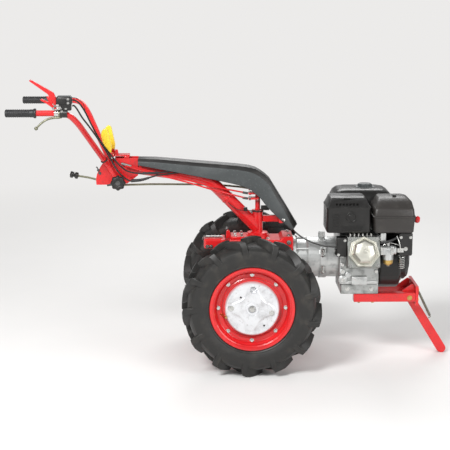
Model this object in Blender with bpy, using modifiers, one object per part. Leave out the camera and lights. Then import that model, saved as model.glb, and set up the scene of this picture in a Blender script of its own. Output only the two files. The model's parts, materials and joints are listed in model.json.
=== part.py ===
"""Two-wheel walking tractor: gearbox, engine, turning handlebar column, wheels and front stand.

Metres, +Z up, +X forward (engine end), +Y to the tractor's left. Places below are measured
from the axle; the root empty carries them so that the origin is under the middle of the box.
"""
import math

import bmesh
import bpy
from mathutils import Matrix, Vector

# ---- driving dimensions -------------------------------------------------------------------
GAP = 0.0003                    # air left between pieces that touch

TYRE_RADIUS = 0.295             # over the lugs
TYRE_WIDTH = 0.156
TRACK = 0.600                   # between the middles of the tyres
RIM_LIP_RADIUS = 0.178
RIM_WIDTH = 0.116
RIM_WALL = 0.004
RIM_DROP_RADIUS = 0.152         # dropped middle of the rim's barrel
RIM_SEAT_HALF = 0.036           # from the rim's middle to where a bead seat begins
RIM_DROP_HALF = 0.024
BEAD_DEPTH = 0.014              # bead seat below the lip
NAVE_THICKNESS = 0.005
HUB_DISC_RADIUS = 0.114
HUB_DISC_THICKNESS = 0.030
NAVE_OUTSET = 0.022             # rim's middle plane to the nave plate's outer face
AXLE_Z = TYRE_RADIUS
AXLE_TUBE_RADIUS = 0.034
AXLE_COVER_RADIUS = 0.074
HALF_SHAFT_RADIUS = 0.028
HUB_RADIUS = 0.046
HUB_FLANGE_RADIUS = 0.075
HUB_FLANGE_THICKNESS = 0.010
HUB_INNER_Y = 0.190

GEARBOX_HALF_WIDTH = 0.075
GEARBOX_TOP_Z = 0.530
GEARBOX_REAR_X = -0.105
GEARBOX_FRONT_X = 0.190
TURNTABLE_RADIUS = 0.050
TURNTABLE_HEIGHT = 0.015
HITCH_END_X = -0.200
HITCH_HALF_WIDTH = 0.032
HITCH_BOTTOM_Z = 0.482
HITCH_TOP_Z = 0.528

CRANK_Z = 0.440
CLUTCH_RADIUS = 0.0885
CLUTCH_LENGTH = 0.116
CLUTCH_FLANGE_RADIUS = 0.094
CLAMP_RING_RADIUS = 0.093
CLAMP_RING_WIDTH = 0.0235
ADAPTER_LENGTH = 0.055

ENGINE_BASE_Z = 0.295
ENGINE_BASE_HEIGHT = 0.045
ENGINE_BASE_HALF_WIDTH = 0.105
CRANKCASE_LENGTH = 0.175
CRANKCASE_HALF_WIDTH = 0.125
CRANKCASE_NEAR_Y = -0.115       # face that carries the cylinder
CRANKCASE_TOP_Z = 0.560
TANK_SEAT_Z = 0.620
TANK_TOP_Z = 0.746
TANK_REAR_Y = 0.190
TANK_LENGTH = 0.280
CYLINDER_TILT = math.radians(18)
CYLINDER_REACH = 0.190          # crankshaft to the head's joint face
CYLINDER_WIDTH = 0.140
VALVE_COVER_RADIUS = 0.069
VALVE_COVER_DEPTH = 0.052
SHROUD_RADIUS = 0.135
SHROUD_DEPTH = 0.095
STARTER_RADIUS = 0.100
STARTER_DEPTH = 0.044
HOOD_BOTTOM_Z = 0.583           # underside of muffler guard and air cleaner
HOOD_TOP_Z = 0.744
HOOD_REAR_Y = -0.030
MUFFLER_FRONT_Y = -0.185
MUFFLER_LENGTH = 0.189
AIR_CLEANER_FRONT_Y = -0.195
AIR_CLEANER_LENGTH = 0.180
CARBURETTOR_FRONT_Y = -0.188
CARBURETTOR_BOTTOM_Z = 0.470
BOWL_BOTTOM_Z = 0.436
BOWL_RADIUS = 0.0225

# where engine pieces start along X, ahead of the crankcase's rear face
CYLINDER_MIDDLE_AT = 0.099
MUFFLER_AT = -0.0637
AIR_CLEANER_AT = 0.1353
TANK_AT = -0.0237
CAP_AT = 0.1303
DUCT_AT = 0.2483
BAR_AT = 0.0693

COVER_HALF_WIDTH = 0.052
COVER_WALL = 0.004
COVER_REAR_X = -0.483
POST_X = 0.0365
POST_RADIUS = 0.0225
POST_TOP_Z = 0.652
COLUMN_TUBE_RADIUS = 0.0275
COLUMN_TUBE_END_X = -0.530
PLATE = 0.006                   # steel plate thickness of yoke and quadrant
YOKE_TOP_Z = 0.886
SUPPORT_STEP = 0.008            # lever support: its foot between the quadrants
SUPPORT_BAR = 0.0105            # and its cross bar above them
SUPPORT_HALF_WIDTH = 0.058
GEAR_LEVER_Y = 0.052
SHIFT_ROD_RADIUS = 0.0035
PTO_ROD_RADIUS = 0.0045
SELECTOR_TOP_Z = 0.750

TILT_PIVOT = (-0.567, 0.789)    # x, z of the handlebar's clamp bolt
TILT_BOLT_RADIUS = 0.008
KNOB_RADIUS = 0.033
HANDLE_TUBE_RADIUS = 0.0125
GRIP_RADIUS = 0.0165
GRIP_LENGTH = 0.127
GRIP_HALF_SPACING = 0.270
GRIP_Z = 1.108
GRIP_END_X = -1.013
HOUSING_X = (-0.802, -0.738)    # lever housing on the right-hand tube
CABLE_RADIUS = 0.0035

BAR_TOP_Z = ENGINE_BASE_Z - GAP
BAR_HEIGHT = 0.038
BAR_HALF_SPACING = 0.080
BAR_WIDTH = 0.040
FRONT_PLATE_BOTTOM_Z = 0.240
FRONT_PLATE_TOP_Z = 0.325
FRONT_PLATE_X = 0.727
FRONT_PLATE_THICKNESS = 0.012
FRONT_PLATE_HALF_WIDTH = 0.100

STAND_PIVOT = (0.712, 0.262)    # x, z of the stand's hinge pin
STAND_FOOT_X = 0.862
STAND_WIDTH = 0.041
STAND_THICKNESS = 0.040
STAND_PIN_RADIUS = 0.006
STAND_SIDE_GAP = 0.012          # leg to the lugs, each side
LUG_THICKNESS = 0.007
SPRING_RADIUS = 0.005

FRONT_X = STAND_FOOT_X + STAND_WIDTH / 2
AXLE_X = -(GRIP_END_X + FRONT_X) / 2

# ---- colours: red, green, blue, roughness, metallic ----------------------------------------
FINISHES = {
    "red paint": (0.62, 0.02, 0.02, 0.35, 0.0),
    "black paint": (0.02, 0.02, 0.02, 0.40, 0.0),
    "cast aluminium": (0.58, 0.58, 0.56, 0.50, 0.9),
    "steel": (0.62, 0.62, 0.62, 0.30, 1.0),
    "tyre rubber": (0.03, 0.03, 0.03, 0.85, 0.0),
    "grip rubber": (0.02, 0.02, 0.02, 0.80, 0.0),
    "grey plastic": (0.10, 0.12, 0.12, 0.45, 0.0),
    "black plastic": (0.02, 0.02, 0.02, 0.40, 0.0),
    "yellow plastic": (0.85, 0.62, 0.06, 0.40, 0.0),
    "brass": (0.70, 0.50, 0.20, 0.35, 1.0),
}


def material(finish):
    """Return the Principled material of that name, made once."""
    found = bpy.data.materials.get(finish)
    if found:
        return found
    red, green, blue, roughness, metallic = FINISHES[finish]
    made = bpy.data.materials.new(finish)
    made.use_nodes = True
    shader = made.node_tree.nodes["Principled BSDF"]
    shader.inputs["Base Color"].default_value = (red, green, blue, 1.0)
    shader.inputs["Roughness"].default_value = roughness
    shader.inputs["Metallic"].default_value = metallic
    return made


# ---- scene, collections and body empties ---------------------------------------------------
for old in list(bpy.data.objects):
    bpy.data.objects.remove(old, do_unlink=True)

pieces = bpy.data.collections.new("walking_tractor")
cutters = bpy.data.collections.new("cutters")
bpy.context.scene.collection.children.link(pieces)
bpy.context.scene.collection.children.link(cutters)

root = bpy.data.objects.new("tractor_origin", None)
root.location = (AXLE_X, 0, 0)
pieces.objects.link(root)

# each body's joint axis passes through its empty: body, x, y, z
BODY_PLACES = [
    ("chassis", 0.0, 0.0, 0.0),
    ("wheel_left", 0.0, TRACK / 2, AXLE_Z),
    ("wheel_right", 0.0, -TRACK / 2, AXLE_Z),
    ("column", POST_X, 0.0, GEARBOX_TOP_Z + TURNTABLE_HEIGHT),
    ("handlebar", TILT_PIVOT[0], 0.0, TILT_PIVOT[1]),
    ("stand", STAND_PIVOT[0], 0.0, STAND_PIVOT[1]),
]
bodies = {}
for body, x, y, z in BODY_PLACES:
    empty = bpy.data.objects.new(body + "_axis", None)
    empty.location = (x, y, z)
    pieces.objects.link(empty)
    empty.parent = root
    bodies[body] = empty
bodies["handlebar"].parent = bodies["column"]
bodies["handlebar"].matrix_parent_inverse = Matrix.Translation(-bodies["column"].location)


def place(obj, body, finish, smooth=True):
    """Put a finished object, built in axle coordinates, on its body."""
    pieces.objects.link(obj)
    obj.parent = bodies[body]
    obj.matrix_parent_inverse = Matrix.Translation(-bodies[body].location)
    obj.data.materials.append(material(finish))
    if smooth and obj.type == "MESH":
        obj.data.shade_smooth()
        obj.data.set_sharp_from_angle(angle=math.radians(35))
    return obj


def cutter(obj):
    """Keep a helper solid out of the model."""
    cutters.objects.link(obj)
    obj.parent = root
    obj.hide_render = True
    obj.display_type = "WIRE"
    return obj


# ---- shape helpers --------------------------------------------------------------------------
def meshObject(name, bm):
    mesh = bpy.data.meshes.new(name)
    bm.to_mesh(mesh)
    bm.free()
    return bpy.data.objects.new(name, mesh)


def bevel(obj, width, segments=2, angle=40):
    """Round the sharp edges of a solid."""
    rounder = obj.modifiers.new("rounded edges", "BEVEL")
    rounder.width = width
    rounder.segments = segments
    rounder.limit_method = "ANGLE"
    rounder.angle_limit = math.radians(angle)
    return obj


def boolean(obj, other, operation="DIFFERENCE"):
    cut = obj.modifiers.new(operation.lower(), "BOOLEAN")
    cut.operation = operation
    cut.object = other
    return obj


def box(name, low, high):
    """An upright block between two corners."""
    bm = bmesh.new()
    size = [b - a for a, b in zip(low, high)]
    middle = [(a + b) / 2 for a, b in zip(low, high)]
    bmesh.ops.create_cube(bm, size=1.0, matrix=Matrix.Translation(middle) @ Matrix.Diagonal((*size, 1)))
    return meshObject(name, bm)


def rod(name, start, end, radius, sides=16, endRadius=None):
    """A straight round bar or cone between two points."""
    start, end = Vector(start), Vector(end)
    span = end - start
    turn = span.to_track_quat("Z", "Y").to_matrix().to_4x4()
    bm = bmesh.new()
    bmesh.ops.create_cone(bm, cap_ends=True, segments=sides, radius1=radius,
                          radius2=radius if endRadius is None else endRadius, depth=span.length,
                          matrix=Matrix.Translation((start + end) / 2) @ turn)
    return meshObject(name, bm)


def turned(name, profile, axis, origin, steps=32):
    """A profile of (radius, height) points turned about an axis through origin."""
    area = sum(r1 * h2 - r2 * h1 for (r1, h1), (r2, h2) in zip(profile, profile[1:] + profile[:1]))
    if area > 0:
        profile = profile[::-1]
    closed = min(r for r, h in profile) > 0
    bm = bmesh.new()
    verts = [bm.verts.new((r, 0, h)) for r, h in profile]
    for a, b in zip(verts, verts[1:] + (verts[:1] if closed else [])):
        bm.edges.new((a, b))
    obj = meshObject(name, bm)
    screw = obj.modifiers.new("turned", "SCREW")
    screw.steps = steps
    screw.render_steps = steps
    screw.use_merge_vertices = True
    screw.merge_threshold = 0.00001
    quarter = math.pi / 2
    turns = {"+X": (0, quarter, 0), "+Y": (-quarter, 0, 0), "-Y": (quarter, 0, 0), "+Z": (0, 0, 0)}
    obj.rotation_euler = turns[axis]
    obj.location = origin
    return obj


def slab(name, outline, plane, low, high):
    """A flat outline given thickness: plane XZ spans y, plane YZ spans x."""
    curve = bpy.data.curves.new(name, "CURVE")
    curve.dimensions = "2D"
    curve.fill_mode = "BOTH"
    curve.extrude = (high - low) / 2
    spline = curve.splines.new("POLY")
    spline.points.add(len(outline) - 1)
    for point, (a, b) in zip(spline.points, outline):
        point.co = (a, b, 0, 1)
    spline.use_cyclic_u = True
    obj = bpy.data.objects.new(name, curve)
    middle = (low + high) / 2
    if plane == "XZ":
        obj.rotation_euler = (math.pi / 2, 0, 0)
        obj.location = (0, middle, 0)
    else:
        obj.rotation_euler = (math.pi / 2, 0, math.pi / 2)
        obj.location = (middle, 0, 0)
    return solidMesh(obj)


def solidMesh(curveObj):
    """Turn a curve object into a welded mesh object at its own place."""
    name = curveObj.name
    bpy.context.scene.collection.objects.link(curveObj)
    bpy.context.view_layer.update()
    graph = bpy.context.evaluated_depsgraph_get()
    mesh = bpy.data.meshes.new_from_object(curveObj.evaluated_get(graph))
    matrix = curveObj.matrix_world.copy()
    bpy.data.objects.remove(curveObj, do_unlink=True)
    bm = bmesh.new()
    bm.from_mesh(mesh)
    bmesh.ops.remove_doubles(bm, verts=bm.verts, dist=0.00001)
    bmesh.ops.transform(bm, matrix=matrix, verts=bm.verts)
    bmesh.ops.recalc_face_normals(bm, faces=bm.faces)
    bpy.data.meshes.remove(mesh)
    return meshObject(name, bm)


def tube(name, path, radius, rounding=0.0, resolution=3):
    """A round tube or wire along a path whose corners are rounded."""
    points = roundedPath(path, rounding)
    curve = bpy.data.curves.new(name, "CURVE")
    curve.dimensions = "3D"
    curve.bevel_depth = radius
    curve.bevel_resolution = resolution
    curve.use_fill_caps = True
    spline = curve.splines.new("POLY")
    spline.points.add(len(points) - 1)
    for point, place3 in zip(spline.points, points):
        point.co = (*place3, 1)
    return solidMesh(bpy.data.objects.new(name, curve))


def roundedPath(path, rounding, steps=4):
    """Replace each inner corner by a short curve that starts 'rounding' before it."""
    path = [Vector(p) for p in path]
    if not rounding:
        return path
    points = [path[0]]
    for before, corner, after in zip(path, path[1:], path[2:]):
        reachIn = min(rounding, (corner - before).length * 0.45)
        reachOut = min(rounding, (after - corner).length * 0.45)
        start = corner + (before - corner).normalized() * reachIn
        end = corner + (after - corner).normalized() * reachOut
        for i in range(steps + 1):
            t = i / steps
            points.append(start * (1 - t) ** 2 + corner * 2 * t * (1 - t) + end * t ** 2)
    points.append(path[-1])
    return points


def arc(cx, cz, radius, startDeg, endDeg, steps=6):
    """Points on a circle, as (x, z) pairs."""
    angles = [math.radians(startDeg + (endDeg - startDeg) * i / steps) for i in range(steps + 1)]
    return [(cx + radius * math.cos(a), cz + radius * math.sin(a)) for a in angles]


# ---- wheels ---------------------------------------------------------------------------------
def tyre(name, side):
    half = TYRE_WIDTH / 2
    bead = RIM_WIDTH / 2 - 0.006
    seat = RIM_LIP_RADIUS - BEAD_DEPTH
    wall = TYRE_RADIUS - RIM_LIP_RADIUS
    profile = [(seat, -bead), (RIM_LIP_RADIUS + 0.001, -bead), (RIM_LIP_RADIUS + 0.1 * wall, -half + 0.012),
               (RIM_LIP_RADIUS + 0.32 * wall, -half), (TYRE_RADIUS - 0.38 * wall, -half),
               (TYRE_RADIUS - 0.16 * wall, -half + 0.006), (TYRE_RADIUS - 0.005, -half + 0.022),
               (TYRE_RADIUS, 0.0)]
    profile = profile + [(r, -h) for r, h in reversed(profile[:-1])]
    return turned(name, profile, side, (0, -TRACK / 2 if side == "-Y" else TRACK / 2, AXLE_Z), steps=44)


def rim(name, side):
    """Barrel with a dropped middle, two lips and a dished nave plate."""
    half = RIM_WIDTH / 2
    seat = RIM_LIP_RADIUS - BEAD_DEPTH - GAP
    bead = half - 0.006 + GAP
    wall = RIM_WALL
    lip = RIM_LIP_RADIUS
    drop = RIM_DROP_RADIUS
    bore = HUB_RADIUS - 0.012
    outer = [(lip, half), (lip, bead + 0.0005), (seat, bead), (seat, RIM_SEAT_HALF), (drop, RIM_DROP_HALF),
             (drop, -RIM_DROP_HALF), (seat, -RIM_SEAT_HALF), (seat, -bead),
             (lip, -bead - 0.0005), (lip, -half)]
    inner = [(lip - wall - 0.001, -half), (seat - wall, -bead + 0.002), (seat - wall, -RIM_SEAT_HALF - 0.001),
             (drop - wall, -RIM_DROP_HALF - 0.001), (drop - wall, NAVE_OUTSET - NAVE_THICKNESS),
             (bore, NAVE_OUTSET - NAVE_THICKNESS), (bore, NAVE_OUTSET), (drop - wall, NAVE_OUTSET),
             (seat - wall, RIM_SEAT_HALF + 0.001), (seat - wall, bead - 0.002), (lip - wall - 0.001, half)]
    return turned(name, outer + inner, side, (0, -TRACK / 2 if side == "-Y" else TRACK / 2, AXLE_Z), steps=44)


def hubDisc(name, side):
    """Cast disc that bolts to the nave plate and ends level with the rim's lip."""
    low = NAVE_OUTSET + GAP
    high = low + HUB_DISC_THICKNESS
    profile = [(0, low), (HUB_DISC_RADIUS, low), (HUB_DISC_RADIUS, high - 0.004),
               (HUB_DISC_RADIUS - 0.004, high), (0, high)]
    return turned(name, profile, side, (0, -TRACK / 2 if side == "-Y" else TRACK / 2, AXLE_Z), steps=40)


def wheelHub(name, side):
    """Flanged hub behind the nave plate, with the half shaft that leaves the axle tube."""
    inner = HUB_INNER_Y - TRACK / 2
    plateBack = NAVE_OUTSET - NAVE_THICKNESS - GAP
    flangeBack = plateBack - HUB_FLANGE_THICKNESS
    profile = [(0, inner), (HALF_SHAFT_RADIUS, inner), (HALF_SHAFT_RADIUS, inner + 0.035),
               (HUB_RADIUS, inner + 0.045), (HUB_RADIUS, flangeBack), (HUB_FLANGE_RADIUS, flangeBack),
               (HUB_FLANGE_RADIUS, plateBack), (0, plateBack)]
    return turned(name, profile, side, (0, -TRACK / 2 if side == "-Y" else TRACK / 2, AXLE_Z), steps=28)


for sideName, side in (("left", "+Y"), ("right", "-Y")):
    body = "wheel_" + sideName
    place(tyre("tyre_" + sideName, side), body, "tyre rubber")
    place(rim("rim_" + sideName, side), body, "red paint")
    place(hubDisc("hub_disc_" + sideName, side), body, "cast aluminium")
    place(wheelHub("wheel_hub_" + sideName, side), body, "steel")


# ---- gearbox and hitch ------------------------------------------------------------------------
def gearboxHousing():
    outline = [(GEARBOX_FRONT_X, 0.544), (0.145, 0.544), (0.132, GEARBOX_TOP_Z), (-0.085, GEARBOX_TOP_Z),
               (GEARBOX_REAR_X, 0.510), (GEARBOX_REAR_X, 0.400)]
    outline += arc(0, AXLE_Z, 0.100, 160, 310, 8)
    outline += [(GEARBOX_FRONT_X, 0.345)]
    case = slab("gearbox_housing", outline, "XZ", -GEARBOX_HALF_WIDTH, GEARBOX_HALF_WIDTH)
    bevel(case, 0.008, 2, 50)
    disc = cutter(rod("turntable_disc", (POST_X, 0, GEARBOX_TOP_Z - 0.010),
                      (POST_X, 0, GEARBOX_TOP_Z + TURNTABLE_HEIGHT), TURNTABLE_RADIUS, 32))
    return boolean(case, disc, "UNION")


def axleTube(name, side):
    """Bearing cover on the gearbox side and the tube out to the wheel hub."""
    start = GEARBOX_HALF_WIDTH + GAP
    end = HUB_INNER_Y - GAP
    profile = [(0, start), (AXLE_COVER_RADIUS, start), (AXLE_COVER_RADIUS, start + 0.012),
               ((AXLE_COVER_RADIUS + AXLE_TUBE_RADIUS) / 2, start + 0.026),
               (AXLE_TUBE_RADIUS, start + 0.034), (AXLE_TUBE_RADIUS, end - 0.004),
               (AXLE_TUBE_RADIUS - 0.004, end), (0, end)]
    return turned(name, profile, side, (0, 0, AXLE_Z), steps=32)


def rearHitch():
    """Drawbar block on a flange bolted to the back of the gearbox, with its hinged catch."""
    back = GEARBOX_REAR_X - GAP
    block = bevel(box("rear_hitch", (HITCH_END_X, -HITCH_HALF_WIDTH, HITCH_BOTTOM_Z),
                      (back - 0.004, HITCH_HALF_WIDTH, HITCH_TOP_Z)), 0.010, 3)
    flange = cutter(box("hitch_flange", (back - 0.010, -0.055, 0.430), (back, 0.055, 0.505)))
    return boolean(block, flange, "UNION")


place(gearboxHousing(), "chassis", "red paint")
place(axleTube("axle_tube_left", "+Y"), "chassis", "red paint")
place(axleTube("axle_tube_right", "-Y"), "chassis", "red paint")
place(rearHitch(), "chassis", "red paint")


# ---- clutch housing -----------------------------------------------------------------------------
clutchStart = GEARBOX_FRONT_X + GAP
clutchEnd = clutchStart + CLUTCH_LENGTH
ringStart = clutchEnd + GAP
ringEnd = ringStart + CLAMP_RING_WIDTH
adapterStart = ringEnd + GAP
adapterEnd = adapterStart + ADAPTER_LENGTH
crankcaseStart = adapterEnd + GAP


def clutchHousing():
    waist = CLUTCH_RADIUS - 0.0085
    profile = [(0, 0), (CLUTCH_FLANGE_RADIUS, 0), (CLUTCH_FLANGE_RADIUS, 0.012), (waist, 0.020),
               (waist, CLUTCH_LENGTH / 2), (CLUTCH_RADIUS, CLUTCH_LENGTH / 2 + 0.008),
               (CLUTCH_RADIUS, CLUTCH_LENGTH), (0, CLUTCH_LENGTH)]
    return turned("clutch_housing", profile, "+X", (clutchStart, 0, CRANK_Z), steps=36)


def clampRing():
    """Split band that holds engine and clutch housing together, with its ears on top."""
    ring = rod("clamp_ring", (ringStart, 0, CRANK_Z), (ringEnd, 0, CRANK_Z), CLAMP_RING_RADIUS, 36)
    ears = cutter(box("clamp_ears", (ringStart, -0.016, CRANK_Z + CLAMP_RING_RADIUS - 0.008),
                      (ringEnd, 0.016, CRANK_Z + CLAMP_RING_RADIUS + 0.019)))
    return boolean(ring, ears, "UNION")


place(clutchHousing(), "chassis", "cast aluminium")
place(clampRing(), "chassis", "cast aluminium")
place(rod("engine_adapter", (adapterStart, 0, CRANK_Z), (adapterEnd, 0, CRANK_Z), CLUTCH_RADIUS, 36),
      "chassis", "cast aluminium")


# ---- engine ---------------------------------------------------------------------------------------
crankcaseEnd = crankcaseStart + CRANKCASE_LENGTH
cylinderMidX = crankcaseStart + CYLINDER_MIDDLE_AT
reachDir = Vector((0, -math.cos(CYLINDER_TILT), math.sin(CYLINDER_TILT)))
riseDir = Vector((0, math.sin(CYLINDER_TILT), math.cos(CYLINDER_TILT)))
crankPoint = Vector((0, 0, CRANK_Z))


def onCylinder(reach, rise):
    """(y, z) of a point out along the cylinder and up across it."""
    point = crankPoint + reachDir * reach + riseDir * rise
    return (point.y, point.z)


def crankcase():
    """Crankcase with the raised saddle that carries the fuel tank."""
    low = ENGINE_BASE_Z + ENGINE_BASE_HEIGHT + GAP
    half = CRANKCASE_HALF_WIDTH
    outline = [(CRANKCASE_NEAR_Y, low), (half - 0.010, low), (half, low + 0.02), (half, CRANKCASE_TOP_Z),
               (half - 0.035, TANK_SEAT_Z), (-0.010, TANK_SEAT_Z), (-0.024, CRANKCASE_TOP_Z),
               (CRANKCASE_NEAR_Y, CRANKCASE_TOP_Z)]
    return bevel(slab("crankcase", outline, "YZ", crankcaseStart, crankcaseEnd), 0.006, 2)


def cylinderBlock():
    """Finned barrel and head, flat against the crankcase's side."""
    inner = CRANKCASE_NEAR_Y - GAP
    half = CYLINDER_WIDTH / 2
    outline = [(inner, CRANK_Z - 0.060), onCylinder(CYLINDER_REACH, -0.068),
               onCylinder(CYLINDER_REACH, 0.068),
               (inner, CRANKCASE_TOP_Z - 0.004)]
    return slab("cylinder_block", outline, "YZ", cylinderMidX - half, cylinderMidX + half)


def valveCover():
    """Seven-sided cap on the head."""
    radius = VALVE_COVER_RADIUS
    start = crankPoint + reachDir * (CYLINDER_REACH + GAP)
    end = crankPoint + reachDir * (CYLINDER_REACH + VALVE_COVER_DEPTH)
    start.x = end.x = cylinderMidX
    return bevel(rod("valve_cover", start, end, radius, 7, radius * 0.90), 0.012, 3, 30)


def mufflerBox():
    front = MUFFLER_FRONT_Y
    start = crankcaseStart + MUFFLER_AT
    outline = [(front, HOOD_BOTTOM_Z), (HOOD_REAR_Y, HOOD_BOTTOM_Z), (HOOD_REAR_Y, HOOD_TOP_Z),
               (front + 0.055, HOOD_TOP_Z), (front, HOOD_TOP_Z - 0.054)]
    return bevel(slab("muffler_guard", outline, "YZ", start, start + MUFFLER_LENGTH), 0.007, 2)


def airCleaner():
    front = AIR_CLEANER_FRONT_Y
    start = crankcaseStart + AIR_CLEANER_AT
    outline = [(front, HOOD_BOTTOM_Z), (HOOD_REAR_Y, HOOD_BOTTOM_Z), (HOOD_REAR_Y, HOOD_TOP_Z),
               (front + 0.085, HOOD_TOP_Z), (front + 0.037, HOOD_TOP_Z - 0.041), (front, HOOD_TOP_Z - 0.092)]
    return bevel(slab("air_cleaner", outline, "YZ", start, start + AIR_CLEANER_LENGTH), 0.007, 2)


def fuelTank():
    start = crankcaseStart + TANK_AT
    return bevel(box("fuel_tank", (start, HOOD_REAR_Y + GAP, TANK_SEAT_Z + GAP),
                     (start + TANK_LENGTH, TANK_REAR_Y, TANK_TOP_Z)), 0.022, 3)


def carburettor():
    """Body beside the head with its float bowl below."""
    low, high = CARBURETTOR_BOTTOM_Z, HOOD_BOTTOM_Z - GAP
    front, rear = CARBURETTOR_FRONT_Y, -SHROUD_RADIUS - 0.004
    start = cylinderMidX + CYLINDER_WIDTH / 2 + GAP
    bodyBox = bevel(box("carburettor", (start, front, low), (start + 0.070, rear, high)), 0.005, 2)
    bowlY = (front + rear) / 2
    bowl = cutter(rod("float_bowl", (start + 0.036, bowlY, BOWL_BOTTOM_Z),
                      (start + 0.036, bowlY, low + 0.010), BOWL_RADIUS, 24))
    return boolean(bodyBox, bowl, "UNION")


def intakeDuct():
    """Duct that hangs from the air cleaner beside the carburettor."""
    start = crankcaseStart + DUCT_AT
    return bevel(box("intake_duct", (start, AIR_CLEANER_FRONT_Y + 0.017, CARBURETTOR_BOTTOM_Z + 0.010),
                     (start + 0.060, -SHROUD_RADIUS - 0.005, HOOD_BOTTOM_Z - GAP)), 0.008, 2)


shroudEnd = crankcaseEnd + GAP + SHROUD_DEPTH
place(bevel(box("engine_base", (crankcaseStart + 0.010, -ENGINE_BASE_HALF_WIDTH, ENGINE_BASE_Z),
                (crankcaseEnd, ENGINE_BASE_HALF_WIDTH, ENGINE_BASE_Z + ENGINE_BASE_HEIGHT)), 0.004, 2),
      "chassis", "cast aluminium")
place(crankcase(), "chassis", "cast aluminium")
place(cylinderBlock(), "chassis", "cast aluminium")
place(valveCover(), "chassis", "cast aluminium")
place(mufflerBox(), "chassis", "black paint")
place(airCleaner(), "chassis", "black plastic")
place(fuelTank(), "chassis", "black paint")
place(turned("fuel_cap", [(0, 0), (0.028, 0), (0.030, 0.004), (0.030, 0.012), (0.026, 0.016), (0, 0.016)],
             "+Z", (crankcaseStart + CAP_AT, (HOOD_REAR_Y + TANK_REAR_Y) / 2, TANK_TOP_Z + GAP), steps=28),
      "chassis", "black plastic")
place(carburettor(), "chassis", "cast aluminium")
place(intakeDuct(), "chassis", "black plastic")
place(bevel(rod("fan_shroud", (crankcaseEnd + GAP, 0, CRANK_Z), (shroudEnd, 0, CRANK_Z), SHROUD_RADIUS, 40),
            0.012, 3), "chassis", "black paint")
starterProfile = [(0, 0), (STARTER_RADIUS, 0), (STARTER_RADIUS, STARTER_DEPTH - 0.020),
                  (STARTER_RADIUS - 0.012, STARTER_DEPTH - 0.006), (0.040, STARTER_DEPTH), (0, STARTER_DEPTH)]
place(turned("recoil_starter", starterProfile, "+X", (shroudEnd + GAP, 0, CRANK_Z), steps=36),
      "chassis", "black plastic")
place(bevel(box("starter_handle", (shroudEnd + 0.006, STARTER_RADIUS + 0.0008, CRANK_Z - 0.024),
                (shroudEnd + 0.024, STARTER_RADIUS + 0.028, CRANK_Z + 0.030)), 0.006, 2),
      "chassis", "black plastic")

# ---- front bracket ------------------------------------------------------------------------------
for sideName, sign in (("left", 1), ("right", -1)):
    ys = sorted((sign * (BAR_HALF_SPACING - BAR_WIDTH / 2), sign * (BAR_HALF_SPACING + BAR_WIDTH / 2)))
    place(bevel(box("bracket_bar_" + sideName, (crankcaseStart + BAR_AT, ys[0], BAR_TOP_Z - BAR_HEIGHT),
                    (FRONT_PLATE_X - GAP, ys[1], BAR_TOP_Z)), 0.003, 2), "chassis", "red paint")


def frontPlate():
    """Cross plate, notched for the stand, with the two lugs that carry its pin."""
    low, high = FRONT_PLATE_BOTTOM_Z, FRONT_PLATE_TOP_Z
    notch = STAND_THICKNESS / 2 + STAND_SIDE_GAP
    half = FRONT_PLATE_HALF_WIDTH
    outline = [(-half, low), (-notch, low), (-notch, 0.290), (notch, 0.290), (notch, low), (half, low),
               (half, high), (-half, high)]
    plate = slab("front_plate", outline, "YZ", FRONT_PLATE_X, FRONT_PLATE_X + FRONT_PLATE_THICKNESS)
    pin = cutter(rod("stand_pin_hole", (STAND_PIVOT[0], -0.08, STAND_PIVOT[1]),
                     (STAND_PIVOT[0], 0.08, STAND_PIVOT[1]), STAND_PIN_RADIUS + 0.0006, 24))
    for lugName, sign in (("lug_left", 1), ("lug_right", -1)):
        ys = sorted((sign * notch, sign * (notch + LUG_THICKNESS)))
        lug = cutter(box(lugName, (0.688, ys[0], low + 0.002), (FRONT_PLATE_X + 0.004, ys[1], 0.286)))
        boolean(plate, lug, "UNION")
    return boolean(plate, pin)


place(frontPlate(), "chassis", "red paint")


# ---- front stand ----------------------------------------------------------------------------------
def standLeg():
    """Flat leg with a round eye, a round foot and the hinge pin fixed in it."""
    px, pz = STAND_PIVOT
    half = STAND_WIDTH / 2
    foot = (STAND_FOOT_X, half)
    lean = math.degrees(math.atan2(foot[1] - pz, foot[0] - px))
    outline = arc(px, pz, half - 0.0015, lean + 90, lean + 270, 8)
    footStart = lean - 90
    spare = [-90, -60, -30, 0]
    outline += [(foot[0] + half * math.cos(math.radians(a)), foot[1] + half * math.sin(math.radians(a)))
                for a in [footStart] + spare + [lean + 90]]
    leg = slab("stand_leg", outline, "XZ", -STAND_THICKNESS / 2, STAND_THICKNESS / 2)
    reach = STAND_THICKNESS / 2 + STAND_SIDE_GAP + LUG_THICKNESS + 0.006
    pin = cutter(rod("stand_pin", (px, -reach, pz), (px, reach, pz), STAND_PIN_RADIUS, 20))
    return boolean(leg, pin, "UNION")


def standSpring():
    """Tension spring from a hook on the plate to a hook on the leg's front edge."""
    plateFace = FRONT_PLATE_X + FRONT_PLATE_THICKNESS + 2 * GAP
    px, pz = STAND_PIVOT
    along = Vector((STAND_FOOT_X - px, 0, STAND_WIDTH / 2 - pz))
    out = Vector((-along.z, 0, along.x)).normalized()
    low = Vector((px, 0, pz)) + along * 0.49
    lowHook = low + out * (STAND_WIDTH / 2 + 0.0006)
    lowEnd = low + out * (STAND_WIDTH / 2 + 0.0122)
    return tube("stand_spring", [(plateFace, 0, 0.290), (plateFace + 0.0134, 0, 0.284), lowEnd, lowHook],
                SPRING_RADIUS)


place(standLeg(), "stand", "red paint")
place(standSpring(), "chassis", "steel")


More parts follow.
